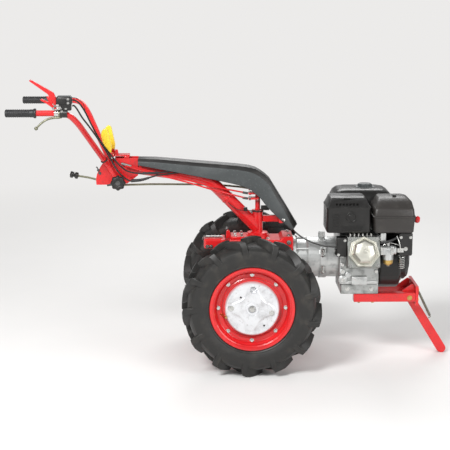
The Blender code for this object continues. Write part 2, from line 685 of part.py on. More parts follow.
# ---- steering column --------------------------------------------------------------------------------
postLowZ = GEARBOX_TOP_Z + TURNTABLE_HEIGHT + GAP
yokeInner = COLUMN_TUBE_RADIUS + GAP
yokeOuter = yokeInner + PLATE
quadrantInner = yokeOuter + 0.001
quadrantOuter = quadrantInner + PLATE
supportTop = YOKE_TOP_Z + GAP + SUPPORT_STEP + SUPPORT_BAR


def steeringPost():
    """Upright tube on the turntable disc, with its top cap."""
    profile = [(0, postLowZ), (0.044, postLowZ), (0.044, postLowZ + 0.008), (POST_RADIUS, postLowZ + 0.011),
               (POST_RADIUS, POST_TOP_Z - 0.006), (0.026, POST_TOP_Z - 0.006), (0.026, POST_TOP_Z),
               (0, POST_TOP_Z)]
    return turned("steering_post", profile, "+Z", (POST_X, 0, 0), steps=28)


def columnTube():
    """Main tube, notched round the post, that rises back to the yoke."""
    path = [(POST_X, 0, 0.572), (-0.185, 0, 0.796), (COLUMN_TUBE_END_X, 0, 0.846)]
    main = tube("column_tube", path, COLUMN_TUBE_RADIUS, rounding=0.060, resolution=5)
    post = cutter(rod("post_notch", (POST_X, 0, 0.50), (POST_X, 0, 0.70), POST_RADIUS + GAP, 40))
    base = cutter(box("base_notch", (POST_X - 0.1, -0.1, 0.50), (POST_X + 0.1, 0.1, postLowZ + 0.011 + GAP)))
    ahead = cutter(box("front_notch", (POST_X, -0.1, 0.50), (POST_X + 0.1, 0.1, 0.70)))
    for notch in (post, base, ahead):
        boolean(main, notch)
    return main


def pivotHole(name, clearance):
    x, z = TILT_PIVOT
    return cutter(rod(name, (x, -0.1, z), (x, 0.1, z), TILT_BOLT_RADIUS + clearance, 24))


def yokePlate(name, low, high):
    front = COVER_REAR_X - GAP
    outline = [(front, YOKE_TOP_Z), (front, 0.812), (-0.530, 0.776), (-0.578, 0.771)]
    outline += arc(*TILT_PIVOT, 0.019, 250, 160, 4)
    outline += [(-0.560, 0.850), (-0.545, YOKE_TOP_Z)]
    plate = slab(name, outline, "XZ", low, high)
    return boolean(plate, pivotHole(name + "_hole", 0.0006))


def linkageCover():
    """Moulded hood, open below, that follows the main tube and drops over the post."""
    top = [(-0.483, 0.884), (-0.410, 0.883), (-0.259, 0.870), (-0.060, 0.853), (0.001, 0.845), (0.046, 0.826),
           (0.088, 0.791), (0.154, 0.684), (0.205, 0.598)]
    bottom = [(0.181, 0.572), (0.130, 0.618), (0.089, 0.659), (0.045, 0.712), (0.010, 0.745), (-0.040, 0.767),
              (-0.138, 0.790), (-0.320, 0.827), (-0.483, 0.858)]
    half = COVER_HALF_WIDTH
    shell = bevel(slab("linkage_cover", top + bottom, "XZ", -half, half), 0.006, 2)
    wall = COVER_WALL
    innerTop = [(x - wall * 0.6, z - wall) for x, z in top[:5]]
    innerTop[0] = (-0.60, innerTop[0][1])
    innerTop += [(x - wall, z - wall * 0.5) for x, z in top[5:]]
    inner = innerTop + [(0.15, 0.50), (0.0, 0.60), (-0.30, 0.74), (-0.60, 0.78)]
    hollow = cutter(slab("cover_hollow", inner, "XZ", wall - half, half - wall))
    return boolean(shell, hollow)


def coverBracket():
    """Bar from the post with a cross piece that the hood's sides are screwed to."""
    z, half = 0.614, 0.013
    stem = box("cover_bracket", (POST_X + POST_RADIUS + GAP, -0.013, z - half), (0.145, 0.013, z + half))
    reach = COVER_HALF_WIDTH - COVER_WALL - GAP
    cross = cutter(box("cover_cross", (0.128, -reach, z - half), (0.148, reach, z + half)))
    return boolean(stem, cross, "UNION")


def selectorShaft():
    """Shaft on the post with two arms that the shift rods pull."""
    shaft = rod("selector_shaft", (POST_X, 0, POST_TOP_Z + GAP), (POST_X, 0, SELECTOR_TOP_Z), 0.011, 20)
    for armName, z, low, high in (("arm_high", 0.729, -0.030, 0.006), ("arm_low", 0.706, -0.030, 0.006),
                                  ("arm_pto", 0.744, -0.006, 0.030)):
        arm = cutter(box(armName, (POST_X - 0.0405, low, z - 0.004), (POST_X + 0.004, high, z + 0.004)))
        boolean(shaft, arm, "UNION")
    return shaft


def gearLever(name, y):
    """Flat handle of a shift lever, on its steel stem."""
    lean = -0.020
    stemLow = supportTop + GAP
    handle = slab(name, [(-0.618, 0.925), (-0.596, 0.925), (-0.590 + lean, 0.975), (-0.597 + lean, 1.012),
                         (-0.606 + lean, 1.018), (-0.618 + lean, 1.010), (-0.624 + lean, 0.975)],
                  "XZ", y - 0.010, y + 0.010)
    bevel(handle, 0.004, 2, 30)
    stem = cutter(box(name + "_stem", (-0.611, y - 0.003, stemLow), (-0.597, y + 0.003, 0.935)))
    return boolean(handle, stem, "UNION")


def leverSupport():
    """Foot on top of the yoke plates and the cross bar on it that carries both shift levers."""
    low = YOKE_TOP_Z + GAP
    foot = cutter(box("support_foot", (-0.543, -yokeOuter, low),
                      (-0.520, yokeOuter, low + SUPPORT_STEP + 0.002)))
    bar = box("lever_support", (-0.618, -SUPPORT_HALF_WIDTH, low + SUPPORT_STEP),
              (-0.520, SUPPORT_HALF_WIDTH, supportTop))
    return boolean(bevel(bar, 0.003, 2), foot, "UNION")


place(steeringPost(), "column", "red paint")
place(columnTube(), "column", "red paint")
place(yokePlate("yoke_left", yokeInner, yokeOuter), "column", "red paint")
place(yokePlate("yoke_right", -yokeOuter, -yokeInner), "column", "red paint")
place(linkageCover(), "column", "grey plastic", smooth=False)
place(coverBracket(), "column", "red paint")
place(selectorShaft(), "column", "red paint")
place(leverSupport(), "column", "red paint")
place(gearLever("gear_lever_left", GEAR_LEVER_Y), "column", "yellow plastic")
place(gearLever("gear_lever_right", -GEAR_LEVER_Y), "column", "yellow plastic")
place(tube("shift_rod_upper", [(-0.537, -0.040, 0.859), (-0.400, -0.040, 0.822), (-0.259, -0.040, 0.788),
                               (-0.170, -0.040, 0.764), (-0.0055, -0.024, 0.729)], SHIFT_ROD_RADIUS, 0.03, 2),
      "column", "red paint")
place(tube("shift_rod_lower", [(-0.537, -0.050, 0.855), (-0.400, -0.050, 0.817), (-0.259, -0.050, 0.780),
                               (-0.170, -0.050, 0.752), (-0.0055, -0.026, 0.706)], SHIFT_ROD_RADIUS, 0.03, 2),
      "column", "red paint")


def ptoRod():
    """Pull rod of the power take-off with the round knob on its end."""
    pull = tube("pto_rod", [(-0.740, 0, 0.8025), (-0.660, 0, 0.786), (-0.600, 0, 0.764), (-0.500, 0.020, 0.762),
                            (-0.400, 0.040, 0.760), (-0.170, 0.040, 0.757), (-0.060, 0.034, 0.750),
                            (-0.0052, 0.024, 0.744)], PTO_ROD_RADIUS, 0.03, 2)
    knob = cutter(rod("pto_knob", (-0.768, 0, 0.8085), (-0.7323, 0, 0.8011), 0.014, 20))
    return boolean(pull, bevel(knob, 0.004, 2), "UNION")


place(ptoRod(), "column", "steel")

# ---- handlebar ----------------------------------------------------------------------------------------
handleY = quadrantOuter + GAP + HANDLE_TUBE_RADIUS
gripStartX = GRIP_END_X + GRIP_LENGTH


def handleTube(name, sign):
    path = [(-0.576, handleY, 0.798), (-0.607, handleY, 0.852), (-0.719, 0.235, 1.062),
            (-0.752, 0.265, GRIP_Z - 0.006), (-0.800, GRIP_HALF_SPACING, GRIP_Z),
            (gripStartX + GAP, GRIP_HALF_SPACING, GRIP_Z)]
    return tube(name, [(x, sign * y, z) for x, y, z in path], HANDLE_TUBE_RADIUS, 0.035)


def quadrantPlate(name, low, high):
    outline = [(-0.552, 0.772), (-0.545, 0.789), (-0.556, 0.815), (-0.594, 0.876)]
    outline += arc(*TILT_PIVOT, 0.098, 132, 190, 6)
    plate = slab(name, outline, "XZ", low, high)
    return boolean(plate, pivotHole(name + "_hole", GAP))


def clampBolt():
    """Pivot bolt with the star knob that clamps the handlebar's height."""
    x, z = TILT_PIVOT
    bolt = rod("clamp_knob", (x, -0.086, z), (x, quadrantOuter + 0.008, z), TILT_BOLT_RADIUS, 20)
    knob = bevel(cutter(rod("knob_head", (x, -0.112, z), (x, -0.084, z), KNOB_RADIUS, 20)), 0.006, 2)
    return boolean(bolt, knob, "UNION")


for sideName, sign in (("left", 1), ("right", -1)):
    place(handleTube("handle_tube_" + sideName, sign), "handlebar", "red paint")
    ys = sorted((sign * quadrantInner, sign * quadrantOuter))
    place(quadrantPlate("quadrant_" + sideName, *ys), "handlebar", "red paint")
    grip = turned("grip_" + sideName, [(0, 0), (GRIP_RADIUS - 0.002, 0), (GRIP_RADIUS, 0.004),
                                       (GRIP_RADIUS, GRIP_LENGTH - 0.010), (0.0205, GRIP_LENGTH - 0.006),
                                       (0.0205, GRIP_LENGTH), (0, GRIP_LENGTH)],
                  "+X", (GRIP_END_X, sign * GRIP_HALF_SPACING, GRIP_Z), steps=20)
    place(grip, "handlebar", "grip rubber")
place(clampBolt(), "handlebar", "black plastic")
place(rod("handlebar_brace", (-0.628, -quadrantInner + GAP, 0.846), (-0.628, quadrantInner - GAP, 0.846), 0.010),
      "handlebar", "red paint")


housingFoot = GRIP_Z + HANDLE_TUBE_RADIUS - 0.001 + GAP


def leverHousing():
    """Switch and lever housing clamped on the right-hand tube."""
    return bevel(box("lever_housing", (HOUSING_X[0], -GRIP_HALF_SPACING - 0.022, housingFoot),
                     (HOUSING_X[1], -GRIP_HALF_SPACING + 0.030, 1.178)), 0.005, 2)


def clutchLever():
    """Long flat lever hinged on the housing, with its lower fork."""
    y = -0.267
    back = HOUSING_X[0] - 0.0005
    outline = [(back, 1.124), (back, 1.172), (-0.812, 1.196), (-0.905, 1.246), (-0.911, 1.240),
               (-0.840, 1.190), (-0.835, 1.170), (-0.862, 1.142), (-0.838, 1.125)]
    return bevel(slab("clutch_lever", outline, "XZ", y - 0.006, y + 0.006), 0.002, 2)


def brakeLever():
    """Curved lever below the right-hand grip, with a ball end, on a band round the tube."""
    low = GRIP_Z - HANDLE_TUBE_RADIUS - GAP
    path = [(-0.796, -0.270, low - 0.005), (-0.830, -0.274, low - 0.007), (-0.860, -0.280, 1.072),
            (-0.884, -0.284, 1.049)]
    lever = tube("brake_lever", path, 0.0045, 0.02, 3)
    ball = cutter(rod("brake_ball", (-0.880, -0.2835, 1.053), (-0.891, -0.285, 1.042), 0.0075, 12))
    return boolean(lever, ball, "UNION")


place(leverHousing(), "handlebar", "black plastic")
place(clutchLever(), "handlebar", "red paint")
place(brakeLever(), "handlebar", "steel")


# ---- cables ---------------------------------------------------------------------------------------------
def smoothRoute(points, spacing):
    """Points about 'spacing' apart on a smooth curve through the given ones."""
    points = [Vector(p) for p in points]
    ends = [points[0] * 2 - points[1]] + points + [points[-1] * 2 - points[-2]]
    route = []
    for a, b, c, d in zip(ends, ends[1:], ends[2:], ends[3:]):
        steps = max(1, round((c - b).length / spacing))
        for i in range(steps):
            t = i / steps
            route.append(0.5 * (2 * b + (c - a) * t + (2 * a - 5 * b + 4 * c - d) * t ** 2
                                + (3 * b - a - 3 * c + d) * t ** 3))
    return route + [points[-1]]


# from the lever housing down beside the right-hand tube, past the clamp knob and under the hood
CLUTCH_CABLE = [(HOUSING_X[1] + GAP, -0.262, 1.138), (HOUSING_X[1] + 0.008, -0.262, 1.138),
                (-0.718, -0.259, 1.122), (-0.700, -0.236, 1.085), (-0.677, -0.201, 1.046), (-0.642, -0.144, 0.981),
                (-0.615, -0.098, 0.926), (-0.594, -0.078, 0.882), (-0.566, -0.075, 0.834), (-0.520, -0.072, 0.795),
                (-0.470, -0.069, 0.797), (-0.401, -0.060, 0.815), (-0.360, -0.050, 0.819), (-0.320, -0.042, 0.823),
                (-0.240, -0.030, 0.830), (-0.150, -0.020, 0.820), (-0.080, -0.018, 0.806), (-0.020, -0.010, 0.790),
                (0.020, -0.002, 0.780), (POST_X, 0, 0.766), (POST_X, 0, SELECTOR_TOP_Z + GAP)]
# from the same housing, hanging between the tubes, then under the hood to where the lower stretch starts
THROTTLE_CABLE_UPPER = [(HOUSING_X[1] + GAP, -0.250, 1.160), (HOUSING_X[1] + 0.008, -0.250, 1.160),
                        (-0.712, -0.246, 1.148), (-0.690, -0.225, 1.110), (-0.668, -0.180, 1.050),
                        (-0.636, -0.118, 0.972), (-0.604, -0.072, 0.916), (-0.570, -0.070, 0.872),
                        (-0.530, -0.071, 0.838), (-0.480, -0.070, 0.826), (-0.420, -0.066, 0.8265),
                        (-0.375, -0.052, 0.8270), (-0.335, -0.038, 0.832), (-0.250, 0.000, 0.846),
                        (-0.150, 0.012, 0.838), (-0.060, 0.012, 0.830), (-0.050, 0.012, 0.830)]
# out below the hood's front end and along the clutch housing to the engine
THROTTLE_CABLE_LOWER = [(-0.050 + GAP, 0.012, 0.830), (-0.040, 0.012, 0.830), (0.020, 0.000, 0.814),
                        (0.075, -0.030, 0.770), (0.130, -0.034, 0.695), (0.162, -0.034, 0.640),
                        (0.176, -0.034, 0.600), (0.193, -0.036, 0.566), (0.240, -0.070, 0.534),
                        (0.305, -0.106, 0.5145), (0.360, -0.128, 0.5115), (0.400, -0.1375, 0.5115),
                        (cylinderMidX - CYLINDER_WIDTH / 2 - GAP, -0.1375, 0.5115)]
for name, route, body in (("clutch_cable", CLUTCH_CABLE, "column"),
                          ("throttle_cable_upper", THROTTLE_CABLE_UPPER, "column"),
                          ("throttle_cable_lower", THROTTLE_CABLE_LOWER, "chassis")):
    place(tube(name, smoothRoute(route, 0.018), CABLE_RADIUS, resolution=2), body, "black plastic")
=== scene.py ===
import bpy, bmesh, json, math
from mathutils import Matrix, Vector


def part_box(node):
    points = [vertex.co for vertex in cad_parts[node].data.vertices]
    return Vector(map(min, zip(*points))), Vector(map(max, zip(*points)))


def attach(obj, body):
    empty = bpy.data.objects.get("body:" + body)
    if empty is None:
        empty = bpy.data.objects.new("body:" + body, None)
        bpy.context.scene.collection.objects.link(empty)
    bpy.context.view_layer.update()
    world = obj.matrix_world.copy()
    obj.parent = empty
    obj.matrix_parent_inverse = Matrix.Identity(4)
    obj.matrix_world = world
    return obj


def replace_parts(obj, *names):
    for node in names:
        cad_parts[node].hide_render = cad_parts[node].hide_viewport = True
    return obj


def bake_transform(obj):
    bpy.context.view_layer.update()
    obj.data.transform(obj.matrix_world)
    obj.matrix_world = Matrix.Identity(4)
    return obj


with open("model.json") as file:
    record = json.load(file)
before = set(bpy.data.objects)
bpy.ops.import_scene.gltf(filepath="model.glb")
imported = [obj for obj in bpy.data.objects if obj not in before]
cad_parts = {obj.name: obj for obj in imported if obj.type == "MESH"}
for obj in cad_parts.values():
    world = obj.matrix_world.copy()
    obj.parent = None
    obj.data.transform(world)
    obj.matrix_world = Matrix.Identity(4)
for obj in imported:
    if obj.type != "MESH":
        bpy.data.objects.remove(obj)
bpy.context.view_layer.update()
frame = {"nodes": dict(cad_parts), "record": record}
nodes = frame["nodes"]
print("frame loaded:", len(nodes), "nodes")


# shader writing
class Value:  # a socket that takes part in arithmetic
    def __init__(self, surface, socket):
        self.surface, self.socket = surface, socket

    def join(self, operation, first, second):
        return self.surface.node("ShaderNodeMath", {"operation": operation}, {0: first, 1: second})

    def __add__(self, other):
        return self.join("ADD", self, other)

    def __radd__(self, other):
        return self.join("ADD", other, self)

    def __mul__(self, other):
        return self.join("MULTIPLY", self, other)

    def __rmul__(self, other):
        return self.join("MULTIPLY", other, self)


class Surface:  # one material and its nodes
    def __init__(self, name, metallic=0.0, roughness=0.5, coat=0.0):
        self.material = bpy.data.materials.new(name)
        self.material.use_nodes = True
        self.tree = self.material.node_tree
        self.shader = self.tree.nodes["Principled BSDF"]
        self.shader.inputs["Metallic"].default_value = metallic
        self.shader.inputs["Roughness"].default_value = roughness
        self.shader.inputs["Coat Weight"].default_value = coat
        self.shader.inputs["Coat Roughness"].default_value = 0.12
        self.place = self.node("ShaderNodeTexCoord", {}, {}, "Object")

    def node(self, kind, settings, values, output=0):
        made = self.tree.nodes.new(kind)
        for key, setting in settings.items():
            if key == "stops":
                ramp = made.color_ramp
                while len(ramp.elements) < len(setting):
                    ramp.elements.new(0.5)
                for element, (spot, colour) in zip(ramp.elements, setting):
                    element.position, element.color = spot, (*colour, 1.0)
            else:
                setattr(made, key, setting)
        for key, value in values.items():
            if isinstance(value, Value):
                self.tree.links.new(value.socket, made.inputs[key])
            elif isinstance(value, tuple) and len(value) == 3 and made.inputs[key].type == "RGBA":
                made.inputs[key].default_value = (*value, 1.0)
            else:
                made.inputs[key].default_value = value
        return Value(self, made.outputs[output])

    def noise(self, scale, detail=3.0, roughness=0.5):
        return self.node("ShaderNodeTexNoise", {},
                         {"Vector": self.place, "Scale": scale, "Detail": detail, "Roughness": roughness})

    def cells(self, scale):
        return self.node("ShaderNodeTexVoronoi", {}, {"Vector": self.place, "Scale": scale})

    def band(self, value, low, high):  # 0 below low, 1 above high
        return self.node("ShaderNodeMapRange", {"clamp": True, "interpolation_type": "SMOOTHSTEP"},
                         {"Value": value, "From Min": low, "From Max": high})

    def blend(self, first, second, factor):  # colours
        return self.node("ShaderNodeMix", {"data_type": "RGBA"}, {0: factor, 6: first, 7: second}, 2)

    def edges(self):  # bright where the mesh is sharply convex
        return self.band(self.node("ShaderNodeNewGeometry", {}, {}, "Pointiness"), 0.515, 0.57)

    def finish(self, colour=None, rough=None, metal=None, height=None, depth=0.001, strength=0.5):
        for key, value in (("Base Color", colour), ("Roughness", rough), ("Metallic", metal)):
            if isinstance(value, Value):
                self.tree.links.new(value.socket, self.shader.inputs[key])
            elif value is not None:
                made = (*value, 1.0) if key == "Base Color" else value
                self.shader.inputs[key].default_value = made
        if height is not None:
            bump = self.node("ShaderNodeBump", {}, {"Height": height, "Distance": depth,
                                                    "Strength": strength})
            self.tree.links.new(bump.socket, self.shader.inputs["Normal"])
        return self.material


def makeRedPaint(name="redEnamel", base=(0.64, 0.013, 0.015), deep=(0.50, 0.008, 0.011)):
    s = Surface(name, roughness=0.3, coat=0.3)
    shade = s.blend(base, deep, s.band(s.noise(7, 4), 0.45, 0.75))
    chips = s.edges() * s.band(s.noise(160, 3), 0.52, 0.64)
    colour = s.blend(shade, (0.20, 0.035, 0.03), chips * 0.35)
    dust = s.band(s.noise(45, 5, 0.6), 0.5, 0.8)
    return s.finish(colour, rough=0.28 + dust * 0.10, height=s.noise(300, 2), depth=0.0002, strength=0.05)


def makeCast(name="castAluminium", base=(0.60, 0.61, 0.60), dark=(0.36, 0.37, 0.37), rough=0.36, grain=420):
    s = Surface(name, metallic=0.85)
    grime = s.band(s.noise(28, 6, 0.62), 0.45, 0.72)
    colour = s.blend(base, dark, grime)
    return s.finish(colour, rough=rough + grime * 0.14, height=s.noise(grain, 3, 0.6), depth=0.0006,
                    strength=0.22)


def makeDiscMetal():
    s = Surface("discAluminium", metallic=0.55)
    grime = s.band(s.noise(18, 6, 0.65), 0.48, 0.78)
    spots = s.band(s.noise(90, 4, 0.6), 0.60, 0.70)
    colour = s.blend(s.blend((0.74, 0.75, 0.77), (0.50, 0.50, 0.51), grime), (0.36, 0.35, 0.34),
                     spots * 0.5)
    return s.finish(colour, rough=0.32 + grime * 0.18, height=s.noise(220, 4, 0.6), depth=0.0015,
                    strength=0.30)


def makeBlackPaint():
    s = Surface("satinBlack", roughness=0.35)
    dust = s.band(s.noise(35, 5, 0.6), 0.5, 0.8)
    colour = s.blend((0.0055, 0.005, 0.0045), (0.013, 0.012, 0.011), dust)
    return s.finish(colour, rough=0.33 + dust * 0.12, height=s.noise(260, 2), depth=0.0003, strength=0.06)


def makeBlackPlastic(name="blackPlastic", base=(0.011, 0.0105, 0.010), dusty=(0.024, 0.022, 0.020)):
    s = Surface(name, roughness=0.45)
    dust = s.band(s.noise(30, 5, 0.6), 0.48, 0.8)
    colour = s.blend(base, dusty, dust)
    return s.finish(colour, rough=0.40 + dust * 0.14, height=s.cells(900), depth=0.0003, strength=0.10)


def makeGreyPlastic():
    s = Surface("greyPlastic", roughness=0.5)
    cloud = s.band(s.noise(9, 5, 0.6), 0.4, 0.75)
    scuff = s.band(s.noise(140, 2, 0.5), 0.62, 0.72)
    colour = s.blend(s.blend((0.050, 0.056, 0.057), (0.075, 0.083, 0.084), cloud), (0.13, 0.14, 0.14),
                     scuff * 0.4)
    return s.finish(colour, rough=0.40 + cloud * 0.12, height=s.cells(520), depth=0.0008, strength=0.35)


def makeRubber(name="tyreRubber", base=(0.014, 0.0135, 0.0125), dusty=(0.062, 0.055, 0.045), grain=260):
    s = Surface(name, roughness=0.8)
    dust = s.band(s.noise(22, 7, 0.66), 0.46, 0.78)
    # the lighter brown mixed in here is dust, and on the tyre also painted sheen
    colour = s.blend(base, dusty, dust * 0.55)
    return s.finish(colour, rough=0.46 + dust * 0.30, height=s.noise(grain, 4, 0.6), depth=0.0006,
                    strength=0.25)


def makeYellow():
    s = Surface("yellowPlastic", roughness=0.4, coat=0.15)
    wear = s.band(s.noise(60, 4), 0.5, 0.75)
    colour = s.blend((0.84, 0.60, 0.035), (0.78, 0.53, 0.03), wear)
    return s.finish(colour, rough=0.38 + wear * 0.10, height=s.noise(300, 2), depth=0.0002, strength=0.05)


def makeSteel(name="zincSteel", base=(0.62, 0.62, 0.60), dull=(0.40, 0.40, 0.38), rough=0.25):
    s = Surface(name, metallic=1.0)
    tarnish = s.band(s.noise(55, 5, 0.6), 0.45, 0.75)
    colour = s.blend(base, dull, tarnish)
    return s.finish(colour, rough=rough + tarnish * 0.2, height=s.noise(700, 2), depth=0.0003, strength=0.2)


red = makeRedPaint()
cast = makeCast()
# a darker copy of the cast aluminium for the head and fins: painted shade for the dark between the fins
finCastPaintedShade = makeCast("finCastPaintedShade", (0.34, 0.35, 0.33), (0.20, 0.21, 0.19), 0.40, 300)
cover = makeCast("coverMetal", (0.66, 0.65, 0.58), (0.50, 0.49, 0.42), 0.38, 700)
# a darker copy of the cast aluminium for the crankcase: painted shade for the shadow under the head
caseCastPaintedShade = makeCast("caseCastPaintedShade", (0.46, 0.47, 0.46), (0.25, 0.26, 0.25), 0.38)
discMetal = makeDiscMetal()
blackPaint = makeBlackPaint()
blackPlastic = makeBlackPlastic()
warmPlastic = makeBlackPlastic("warmPlastic", (0.026, 0.023, 0.021), (0.042, 0.038, 0.034))
greyPlastic = makeGreyPlastic()
# the tyre keeps the lighter dusty brown default: dust plus painted sheen
tyreRubber = makeRubber()
gripRubber = makeRubber("gripRubber", (0.015, 0.015, 0.016), (0.05, 0.05, 0.05), 600)
yellow = makeYellow()
zinc = makeSteel()
brass = makeSteel("brass", (0.62, 0.42, 0.14), (0.45, 0.30, 0.10), 0.28)
darkSteel = makeSteel("darkSteel", (0.16, 0.16, 0.16), (0.08, 0.08, 0.08), 0.4)
oliveSteel = makeSteel("oliveSteel", (0.25, 0.25, 0.18), (0.16, 0.16, 0.12), 0.45)

slotMaterials = {
    "red_paint": red, "engine_metal": cast, "valve_cover_metal": cover, "black_paint": blackPaint,
    "black_plastic": blackPlastic, "grey_plastic": greyPlastic, "yellow_plastic": yellow,
    "zinc_steel": zinc, "grip_rubber": gripRubber, "tyre_rubber": tyreRubber, "disc_aluminium": discMetal,
}
slotOf = {row["node"]: row["material_slot"] for row in frame["record"]["subparts"]}
for name, obj in nodes.items():
    chosen = slotMaterials[slotOf[name]]
    # the crankcase and engine base take the darker cast copy, painted shade
    if name in ("crankcase", "engine_base"):
        chosen = caseCastPaintedShade
    if name == "pto_rod":
        chosen = oliveSteel
    for index in range(max(1, len(obj.material_slots))):
        if not obj.material_slots:
            obj.data.materials.append(chosen)
        obj.material_slots[index].material = chosen
print("finishes on the frame")


def addPiece(name, data, body, finish, smooth=True):
    if isinstance(data, bmesh.types.BMesh):
        mesh = bpy.data.meshes.new(name)
        bmesh.ops.recalc_face_normals(data, faces=data.faces)
        data.to_mesh(mesh)
        data.free()
        data = mesh
        if smooth:
            data.shade_smooth()
            data.set_sharp_from_angle(angle=math.radians(32))
    obj = bpy.data.objects.new(name, data)
    obj.data.materials.append(finish)
    bpy.context.scene.collection.objects.link(obj)
    if body:
        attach(obj, body)
    return obj


def toward(direction, roll=0.0):  # turns local +Z to a direction
    turn = Vector(direction).to_track_quat("Z", "Y").to_matrix().to_4x4()
    return turn @ Matrix.Rotation(roll, 4, "Z")


def addRod(bm, start, end, radius, sides=16, endRadius=None):
    start, end = Vector(start), Vector(end)
    span = end - start
    bmesh.ops.create_cone(bm, cap_ends=True, segments=sides, radius1=radius,
                          radius2=radius if endRadius is None else endRadius, depth=span.length,
                          matrix=Matrix.Translation((start + end) / 2) @ toward(span))


def addBlock(bm, low, high):
    size = [b - a for a, b in zip(low, high)]
    middle = [(a + b) / 2 for a, b in zip(low, high)]
    return bmesh.ops.create_cube(bm, size=1.0, matrix=Matrix.Translation(middle) @ Matrix.Diagonal((*size,
            1)))


def addLathe(bm, profile, matrix, steps=48):  # profile of (radius, height); closed when it leaves the axis
    closed = min(r for r, h in profile) > 1e-6
    rings = []
    for r, h in profile:
        if r < 1e-6:
            rings.append([bm.verts.new(matrix @ Vector((0, 0, h)))] * steps)
        else:
            rings.append([bm.verts.new(matrix @ Vector((r * math.cos(2 * math.pi * i / steps),
                                                        r * math.sin(2 * math.pi * i / steps), h)))
                          for i in range(steps)])
    for low, high in zip(rings, rings[1:] + (rings[:1] if closed else [])):
        for i in range(steps):
            j = (i + 1) % steps
            corners = []
            for v in (low[i], low[j], high[j], high[i]):
                if v not in corners:
                    corners.append(v)
            if len(corners) > 2:
                bm.faces.new(corners)


def addBolts(bm, places, direction, radius, height=0.004, washer=True):  # hexagon heads on washers
    direction = Vector(direction).normalized()
    for index, spot in enumerate(places):
        spot = Vector(spot)
        base = 0.0
        if washer:
            addRod(bm, spot, spot + direction * radius * 0.22, radius * 1.45, 20)
            base = radius * 0.22
        matrix = Matrix.Translation(spot + direction * (base + height / 2)) @ toward(direction, index * 0.7)
        bmesh.ops.create_cone(bm, cap_ends=True, segments=6, radius1=radius, radius2=radius * 0.96,
                              depth=height, matrix=matrix)


def smoothPath(points, steps=8):  # a rounded route through the given points
    points = [Vector(p) for p in points]
    ends = [points[0] * 2 - points[1]] + points + [points[-1] * 2 - points[-2]]
    route = []
    for a, b, c, d in zip(ends, ends[1:], ends[2:], ends[3:]):
        for i in range(steps):
            t = i / steps
            route.append(0.5 * ((2 * b) + (c - a) * t + (2 * a - 5 * b + 4 * c - d) * t ** 2
                                + (3 * b - a - 3 * c + d) * t ** 3))
    return route + [points[-1]]


def addSweep(bm, route, radius, sides=10):  # a round wire along a route, capped
    rings, up = [], Vector((0, 0, 1))
    for i, spot in enumerate(route):
        ahead = (route[min(i + 1, len(route) - 1)] - route[max(i - 1, 0)]).normalized()
        if abs(ahead.dot(up)) > 0.95:
            up = Vector((0, 1, 0))
        across = ahead.cross(up).normalized()
        up = across.cross(ahead).normalized()
        r = radius(i / (len(route) - 1)) if callable(radius) else radius
        rings.append([bm.verts.new(spot + (across * math.cos(2 * math.pi * k / sides)
                                           + up * math.sin(2 * math.pi * k / sides)) * r)
                      for k in range(sides)])
    for low, high in zip(rings, rings[1:]):
        for k in range(sides):
            bm.faces.new((low[k], low[(k + 1) % sides], high[(k + 1) % sides], high[k]))
    bm.faces.new(rings[0][::-1])
    bm.faces.new(rings[-1])


def at(x, y, z):  # a place measured from the axle
    return Vector((x + axleX, y, z))


def wirePath(points, steps=8):  # a rounded route, with its points measured from the axle
    return smoothPath([at(*point) for point in points], steps)


def addPrism(bm, outline, plane, low, high):  # XZ outlines span y, YZ outlines span x
    rings = []
    for depth in (low, high):
        rings.append([bm.verts.new(at(a, depth, b) if plane == "XZ" else at(depth, a, b)) for a,
                      b in outline])
    bm.faces.new(rings[0])
    bm.faces.new(rings[1][::-1])
    count = len(outline)
    for i in range(count):
        bm.faces.new((rings[0][i], rings[0][(i + 1) % count], rings[1][(i + 1) % count], rings[1][i]))


# rows of (z, x0, x1, y0, y1), a rounded rectangle at each height
def addLoft(bm, rows, radius=0.012, steps=4):
    rings = []
    for z, x0, x1, y0, y1 in rows:
        ring = []
        for cx, cy, start in ((x1, y1, 0), (x0, y1, 90), (x0, y0, 180), (x1, y0, 270)):
            dx, dy = (radius if cx == x0 else -radius), (radius if cy == y0 else -radius)
            for i in range(steps + 1):
                a = math.radians(start + 90 * i / steps)
                ring.append(bm.verts.new(at(cx + dx + radius * math.cos(a), cy + dy + radius * math.sin(a),
                                            z)))
        rings.append(ring)
    for low, high in zip(rings, rings[1:]):
        for i in range(len(low)):
            j = (i + 1) % len(low)
            bm.faces.new((low[i], low[j], high[j], high[i]))
    bm.faces.new(rings[0][::-1])
    bm.faces.new(rings[-1])


def carve(obj, cutter):  # takes a solid away from a piece
    mesh = bpy.data.meshes.new("cutter")
    bmesh.ops.recalc_face_normals(cutter, faces=cutter.faces)
    cutter.to_mesh(mesh)
    cutter.free()
    tool = bpy.data.objects.new("cutter", mesh)
    bpy.context.scene.collection.objects.link(tool)
    cut = obj.modifiers.new("cut", "BOOLEAN")
    cut.operation, cut.object = "DIFFERENCE", tool
    cut.use_self = True
    bpy.context.view_layer.update()
    shape = bpy.data.meshes.new_from_object(obj.evaluated_get(bpy.context.evaluated_depsgraph_get()))
    obj.modifiers.remove(cut)
    obj.data = shape
    obj.data.shade_smooth()
    obj.data.set_sharp_from_angle(angle=math.radians(32))
    bpy.data.objects.remove(tool, do_unlink=True)


def addCoil(bm, start, end, radius, wire, turns):
    span = Vector(end) - Vector(start)
    frame3 = Matrix.Translation(start) @ toward(span)
    steps = int(turns * 12)
    route = [frame3 @ Vector((radius * math.cos(i * math.pi / 6), radius * math.sin(i * math.pi / 6),
                              span.length * i / steps)) for i in range(steps + 1)]
    addSweep(bm, route, wire, 6)


def addBetween(name, bm, start, end, finish):  # a piece left unattached, with its transform baked
    obj = addPiece(name, bm, None, finish)
    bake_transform(obj)
    return obj


